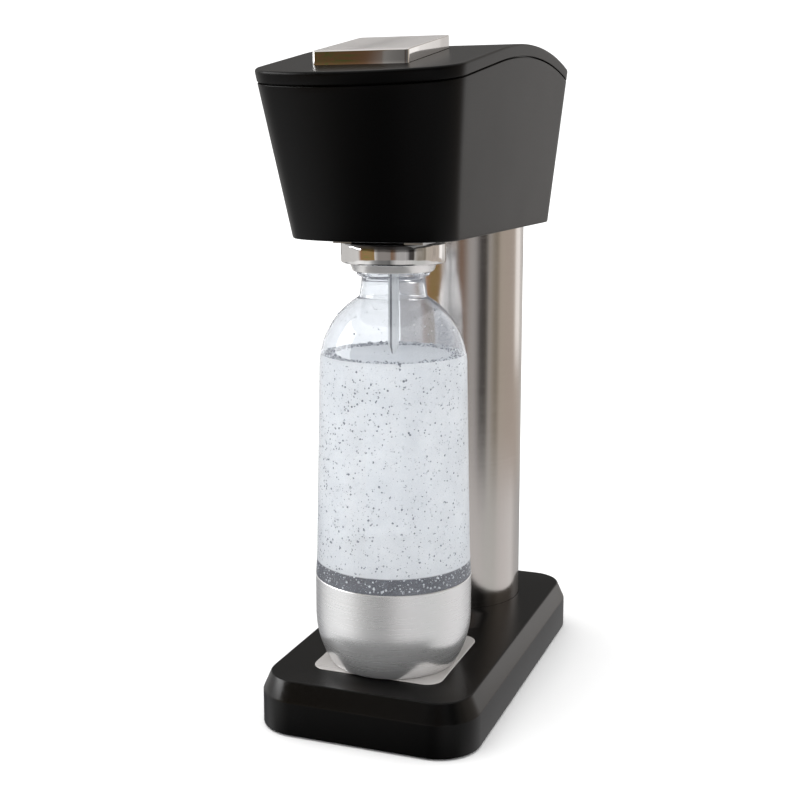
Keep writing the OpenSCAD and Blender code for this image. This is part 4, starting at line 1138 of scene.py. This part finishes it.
# %% Tree that scatters bubbles on a surface
def bubble_tree():
    tree, given = new_tree("bubbles", Density=100.0, Smallest=0.0001, Largest=0.0004, Seed=7,
                           Material=BUBBLE)
    wire = Wire(tree)
    points = wire.add("GeometryNodeDistributePointsOnFaces", {"distribute_method": "RANDOM"},
                      {"Mesh": given["Geometry"], "Density": given["Density"], "Seed": given["Seed"]})
    ball = wire.add("GeometryNodeMeshIcoSphere", None, {"Radius": 1.0, "Subdivisions": 1})
    even = wire.add("FunctionNodeRandomValue", {"data_type": "FLOAT"},
                    {2: 0.0, 3: 1.0, "Seed": given["Seed"]}, output=1)
    spread = wire.maths("POWER", even, 3.0)
    size = given["Smallest"] + spread * (given["Largest"] - given["Smallest"])
    balls = wire.add("GeometryNodeInstanceOnPoints", None,
                     {"Points": points, "Instance": ball, "Scale": size})
    close_tree(tree, balls, given["Material"])
    return tree


def open_band(name, profile):
    """An open turned surface to scatter on, given to a tree and never shown."""
    sides = 96
    turn = np.arange(sides) * 2 * math.pi / sides
    points = [(r * math.cos(a) * MM, (r * math.sin(a) + BOTTLE_Y) * MM, z * MM)
              for r, z in profile for a in turn]
    faces = []
    for row in range(0, (len(profile) - 1) * sides, sides):
        for k in range(sides):
            m = (k + 1) % sides
            faces.append((row + k, row + m, row + sides + m, row + sides + k))
    mesh = bpy.data.meshes.new(name)
    mesh.from_pydata(points, [], faces)
    return mesh


BUBBLES = bubble_tree()
print("tree:", BUBBLES.name, "with", len(BUBBLES.nodes), "nodes")

# %% [markdown]
# Four bands share the tree: fine bubbles all over the wetted wall, larger ones crowded where the
# water's surface meets it, scattered drops under the dome, and more in the painted dark band above the
# cup.

# %% Grow the bubbles
wall_r = BODY_R - WALL + 0.15
wall_band = [(wall_r, CUP_TOP + 10), (SHOULDER_R - WALL + 0.15, DOME_LOW)]
wall_band += [(SHOULDER_R - WALL - 0.1, WATER_TOP - 1)]
foam_band = [(edge_r - 0.9, WATER_TOP + 0.3), (edge_r - 7, WATER_TOP - 0.1)]
drop_band = [(SHOULDER_R - WALL - 0.3, WATER_TOP + 4), (33.0, WATER_TOP + 20), (24.0, SHOULDER_Z - 4)]
rim_band = [(wall_r, CUP_TOP + 0.8), (wall_r, CUP_TOP + 8.5)]
for name, band_name, band, density, smallest, largest, seed in (
        ("wall_bubbles", "wall_band", wall_band, 230000.0, 0.00016, 0.00075, 3),
        ("surface_bubbles", "foam_band", foam_band, 420000.0, 0.0004, 0.0019, 11),
        ("dome_drops", "drop_band", drop_band, 16000.0, 0.0003, 0.0008, 23),
        ("rim_bubbles", "sparkle_band", rim_band, 260000.0, 0.0002, 0.0009, 5)):
    bubbles = grow(name, BUBBLES, open_band(band_name, band), Density=density,
                   Smallest=smallest, Largest=largest, Seed=seed, Material=BUBBLE)
    finish(bubbles, "bottle_unit", [], [BUBBLE])

# %% [markdown]
# ## Springs
# Two springs push the button and the valve pin back up. A spring is a curve that climbs as it
# turns, with a round wire swept along it.

# %% Tree that winds a spring
def spring_tree():
    tree, given = new_tree("spring", Coil_Radius=0.005, Wire=0.001, Height=0.02, Turns=6.0,
                           Axis_Y=0.0, Base_Z=0.0, Material=SPRING_STEEL)
    wire = Wire(tree)
    coil = wire.add("GeometryNodeCurveSpiral", None,
                    {"Resolution": 40, "Rotations": given["Turns"], "Start Radius": given["Coil Radius"],
                     "End Radius": given["Coil Radius"], "Height": given["Height"] - given["Wire"] * 2})
    round_wire = wire.add("GeometryNodeCurvePrimitiveCircle", None,
                          {"Resolution": 12, "Radius": given["Wire"]})
    swept = wire.add("GeometryNodeCurveToMesh", None,
                     {"Curve": coil, "Profile Curve": round_wire, "Fill Caps": True})
    place = wire.add("ShaderNodeCombineXYZ", None,
                     {"Y": given["Axis Y"], "Z": given["Base Z"] + given["Wire"]})
    moved = wire.add("GeometryNodeTransform", None, {"Geometry": swept, "Translation": place})
    close_tree(tree, moved, given["Material"])
    return tree


SPRING = spring_tree()


def add_spring(name, node, wire_r, turns):
    """A wound spring in the box of its CAD node, on the machine's body."""
    bottom, top = low(node)[2], high(node)[2]
    radius = half_width(node) - wire_r
    piece = grow(name, SPRING, None, Coil_Radius=radius * MM, Wire=wire_r * MM, Turns=turns,
                 Height=(top - bottom) * MM, Axis_Y=middle(node)[1] * MM, Base_Z=bottom * MM,
                 Material=SPRING_STEEL)
    finish(piece, "machine", [node], [SPRING_STEEL])
    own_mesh(piece)


add_spring("return_spring", "button_spring", 1.0, 7.0)
add_spring("valve_spring", "pin_spring", 0.7, 3.0)

# %% [markdown]
# ## Finishes for the solids that stay
# Every solid whose shape is right keeps it. Each takes a material by its slot in the record, so
# none is left plain.

# %% Give every remaining CAD node its finish
BY_SLOT = {
    "black_plastic": BLACK, "inner_plastic": INNER, "rubber": RUBBER, "gasket": GASKET, "hose": HOSE,
    "screw_steel": SCREW_STEEL, "spring_steel": SPRING_STEEL, "plain_steel": PLAIN_STEEL,
    "tray_steel": TRAY_STEEL, "column_steel": COLUMN_STEEL, "cup_steel": CUP_STEEL,
    "button_chrome": CHROME, "collar_chrome": CHROME, "cast_block": CAST, "brass": BRASS,
    "cylinder_paint": PAINT, "tube_plastic": TUBE, "clear_bottle": CLEAR,
}
for part in frame["record"]["subparts"]:
    solid = nodes[part["node"]]
    solid.data.materials.clear()
    solid.data.materials.append(TUBE if part["node"] == "nozzle_tip" else BY_SLOT[part["material_slot"]])

# %% [markdown]
# ## The studio
# Gloss black and chrome show the room more than themselves, so the room matters as much as the
# lamps. A plain pale floor catches a soft shadow. Round everything stands a large tent that only
# mirror-like surfaces see: light panels to the left and right, a dark gap beside the camera and
# a warm, dark patch in front, as in any real room.

# %% Camera
camera_data = bpy.data.cameras.new("camera")
camera_data.lens = 58.29
camera_data.sensor_width = 36.0
camera_data.shift_y = -0.06
camera = bpy.data.objects.new("camera", camera_data)
camera.location = Vector((249.33, -711.41, 316.75)) * MM
CAMERA_AZIMUTH = 0.35516
CAMERA_PITCH = 0.15503
camera.rotation_euler = (math.pi / 2 - CAMERA_PITCH, 0, CAMERA_AZIMUTH)
bpy.context.scene.collection.objects.link(camera)
bpy.context.scene.camera = camera
print("camera at", [round(v, 3) for v in camera.location])

# %% [markdown]
# The floor is a plain pale sheet, wide enough that its edge never shows. Gloss doesn't see it:
# the tent below already holds what the black plastic and the chrome should mirror.

# %% Floor
floor_material, floor_shader, floor_place = new_material("pale_floor", Roughness=0.9)
floor_shader.inputs["Specular IOR Level"].default_value = 0.0
floor_cloud = floor_place.noise(3.0, detail=3.0)
feed(floor_shader, "Base Color", floor_cloud.blend((0.93, 0.93, 0.93), (0.95, 0.95, 0.95)))
FLOOR_HALF = 60.0
floor_mesh = bpy.data.meshes.new("floor")
floor_mesh.from_pydata([(-FLOOR_HALF, -FLOOR_HALF, 0), (FLOOR_HALF, -FLOOR_HALF, 0),
                        (FLOOR_HALF, FLOOR_HALF, 0), (-FLOOR_HALF, FLOOR_HALF, 0)], [], [(0, 1, 2, 3)])
floor = bpy.data.objects.new("floor", floor_mesh)
floor_mesh.materials.append(floor_material)
bpy.context.scene.collection.objects.link(floor)
floor.visible_glossy = False

# %% [markdown]
# The tent is described by two rows of panels that meet a little below the horizon. Each panel is
# an angle round the machine in degrees, with 0 at the front and positive to the right, and the
# colour of the light that comes from there.

# %% Panels of the tent
TENT_R = 3.0
UPPER_PANELS = [
    (-180, (0.62, 0.60, 0.58)), (-150, (0.60, 0.58, 0.56)), (-120, (0.62, 0.61, 0.60)),
    (-92, (0.64, 0.63, 0.62)), (-62, (0.70, 0.69, 0.68)), (-50, (0.34, 0.18, 0.09)),
    (-38, (0.36, 0.19, 0.10)), (-20.2, (0.34, 0.17, 0.08)), (-19.8, (0.70, 0.67, 0.64)),
    (-17, (0.56, 0.54, 0.52)), (-8, (0.28, 0.26, 0.25)), (10, (0.26, 0.24, 0.23)),
    (16, (0.22, 0.13, 0.08)), (24, (0.26, 0.20, 0.17)), (34, (0.46, 0.45, 0.445)),
    (44, (0.42, 0.41, 0.41)), (54, (0.07, 0.065, 0.065)), (66, (0.06, 0.055, 0.05)),
    (72, (0.50, 0.48, 0.46)), (80, (0.32, 0.29, 0.25)), (89, (0.24, 0.21, 0.17)),
    (96, (0.50, 0.45, 0.39)), (120, (0.49, 0.43, 0.38)), (145, (0.50, 0.44, 0.39)),
    (180, (0.55, 0.53, 0.51)),
]
LOWER_PANELS = [
    (-180, (0.42, 0.42, 0.42)), (-150, (0.40, 0.40, 0.40)), (-122, (0.13, 0.13, 0.14)),
    (-108, (0.34, 0.35, 0.36)), (-98, (0.68, 0.68, 0.68)), (-80, (0.90, 0.90, 0.90)),
    (-61, (1.02, 1.02, 1.02)), (-45, (0.95, 0.95, 0.95)), (-32, (0.50, 0.50, 0.50)),
    (-21, (0.30, 0.30, 0.30)), (-6, (0.20, 0.20, 0.20)), (9, (0.14, 0.14, 0.14)),
    (22, (0.46, 0.45, 0.45)), (32, (0.66, 0.65, 0.65)), (54, (0.66, 0.65, 0.65)),
    (74, (0.60, 0.61, 0.60)), (89, (0.62, 0.62, 0.61)), (106, (0.72, 0.70, 0.70)),
    (134, (0.78, 0.77, 0.77)), (148, (0.55, 0.54, 0.54)), (180, (0.42, 0.42, 0.42)),
]
print("panels:", len(UPPER_PANELS), "above,", len(LOWER_PANELS), "below")

# %% [markdown]
# On top of the panels come single patches: green specks to the left of the front, streaks on the
# right, dark in front both high and low, dark behind on the left, bright behind on the right, pale
# overhead, and one very bright window high on the left. Each patch is a mask of soft steps.

# %% Tent that only reflections see
def panel_row(share, panels):
    """A row of panels round the tent: share is 0 to 1 from -180 to 180 degrees."""
    stops = [((angle + 180) / 360, (*colour, 1)) for angle, colour in panels]
    return share.add("ShaderNodeValToRGB", {"stops": stops}, {"Fac": share})


def tent_material():
    material = bpy.data.materials.new("tent_light")
    material.use_nodes = True
    tree = material.node_tree
    tree.nodes.clear()
    place = Wire(tree).add("ShaderNodeTexCoord", None, None, output=3)
    x, y, z = place.axes()
    azimuth = place.maths("ARCTAN2", x, y * -1)
    share = azimuth / (2 * math.pi) + 0.5
    level = z / TENT_R
    blobs = place.noise(16.0, detail=4.0, roughness=0.65, stretch=(1.0, 1.0, 2.2)).step(0.49, 0.60)
    in_patch = share.step(0.36, 0.38) * (1 - share.step(0.439, 0.441))
    scenery = (blobs * in_patch).blend(panel_row(share, UPPER_PANELS), (0.14, 0.24, 0.06))
    colour = level.step(-0.235, -0.18).blend(panel_row(share, LOWER_PANELS), scenery)
    sweep = place.add("ShaderNodeCombineXYZ", None, {"X": azimuth})
    streaks = sweep.noise(26.0, detail=3.0, roughness=0.7).ramp(0.3, 0.7, 0.74, 1.22)
    streaks = 1 + (streaks - 1) * share.step(0.56, 0.60) * (1 - share.step(0.83, 0.87))
    colour = colour.add("ShaderNodeVectorMath", {"operation": "SCALE"}, {0: colour, "Scale": streaks})
    turned_away = azimuth.maths("ABSOLUTE", azimuth)
    front = 1 - turned_away.step(1.2, 1.5)
    colour = (front * (1 - level.step(-0.52, -0.42))).blend(colour, (0.0, 0.0, 0.0))
    front_high = front * level.step(0.14, 0.22) * (1 - level.step(0.6, 0.7))
    colour = (front_high * 0.7).blend(colour, (0.0, 0.0, 0.0))
    behind_left = turned_away.step(2.2, 2.5) * (1 - share.step(0.55, 0.6))
    low_dark = behind_left * level.step(-0.02, 0.0) * (1 - level.step(0.42, 0.60))
    colour = (low_dark * 0.72).blend(colour, (0.01, 0.01, 0.01))
    beside_right = share.step(0.87, 0.90) * level.step(-0.12, -0.07) * (1 - level.step(0.3, 0.5))
    side_light = share.step(0.935, 0.950).blend((1.10, 1.07, 1.05), (0.66, 0.635, 0.615))
    colour = beside_right.blend(colour, side_light)
    colour = level.step(0.60, 0.80).blend(colour, (0.85, 0.84, 0.83))
    across = azimuth + level * 0.35
    window = across.step(-1.42, -1.41) * (1 - across.step(-0.80, -0.79))
    window = window * level.step(0.20, 0.21) * (1 - level.step(0.66, 0.67))
    colour = window.blend(colour, (1.0, 1.0, 1.0))
    brighter = {0: colour, "Scale": window * 5.5 + 1.0}
    colour = colour.add("ShaderNodeVectorMath", {"operation": "SCALE"}, brighter)
    glow = colour.add("ShaderNodeEmission", None, {"Color": colour, "Strength": 1.0})
    out = tree.nodes.new("ShaderNodeOutputMaterial")
    tree.links.new(glow.socket, out.inputs["Surface"])
    return material


work = bmesh.new()
bmesh.ops.create_uvsphere(work, u_segments=96, v_segments=48, radius=TENT_R)
bmesh.ops.reverse_faces(work, faces=work.faces)
tent_mesh = bpy.data.meshes.new("tent")
work.to_mesh(tent_mesh)
work.free()
tent_mesh.materials.append(tent_material())
tent = bpy.data.objects.new("tent", tent_mesh)
bpy.context.scene.collection.objects.link(tent)
tent.visible_camera = False
tent.visible_diffuse = False
tent.visible_transmission = False
tent.visible_shadow = False

# %% [markdown]
# One high, very wide lamp gives the soft shadow, and a white surround fills it in. The surround
# is a little brighter than white, because the floor has to come out as pale as paper.

# %% Lamp and the white surround
sun = bpy.data.lights.new("high_soft_lamp", "SUN")
sun.energy = 0.9
sun.angle = math.radians(50)
sun.color = (1.0, 0.995, 0.985)
sun_holder = bpy.data.objects.new("high_soft_lamp", sun)
sun_holder.rotation_euler = Vector((-0.30, -0.22, 1.0)).to_track_quat("Z", "Y").to_euler()
sun_holder.visible_glossy = False
bpy.context.scene.collection.objects.link(sun_holder)
world = bpy.data.worlds.new("white_surround")
world.use_nodes = True
world.node_tree.nodes["Background"].inputs["Color"].default_value = (1, 1, 1, 1)
world.node_tree.nodes["Background"].inputs["Strength"].default_value = 1.22
bpy.context.scene.world = world
bpy.context.scene.view_settings.view_transform = "Standard"
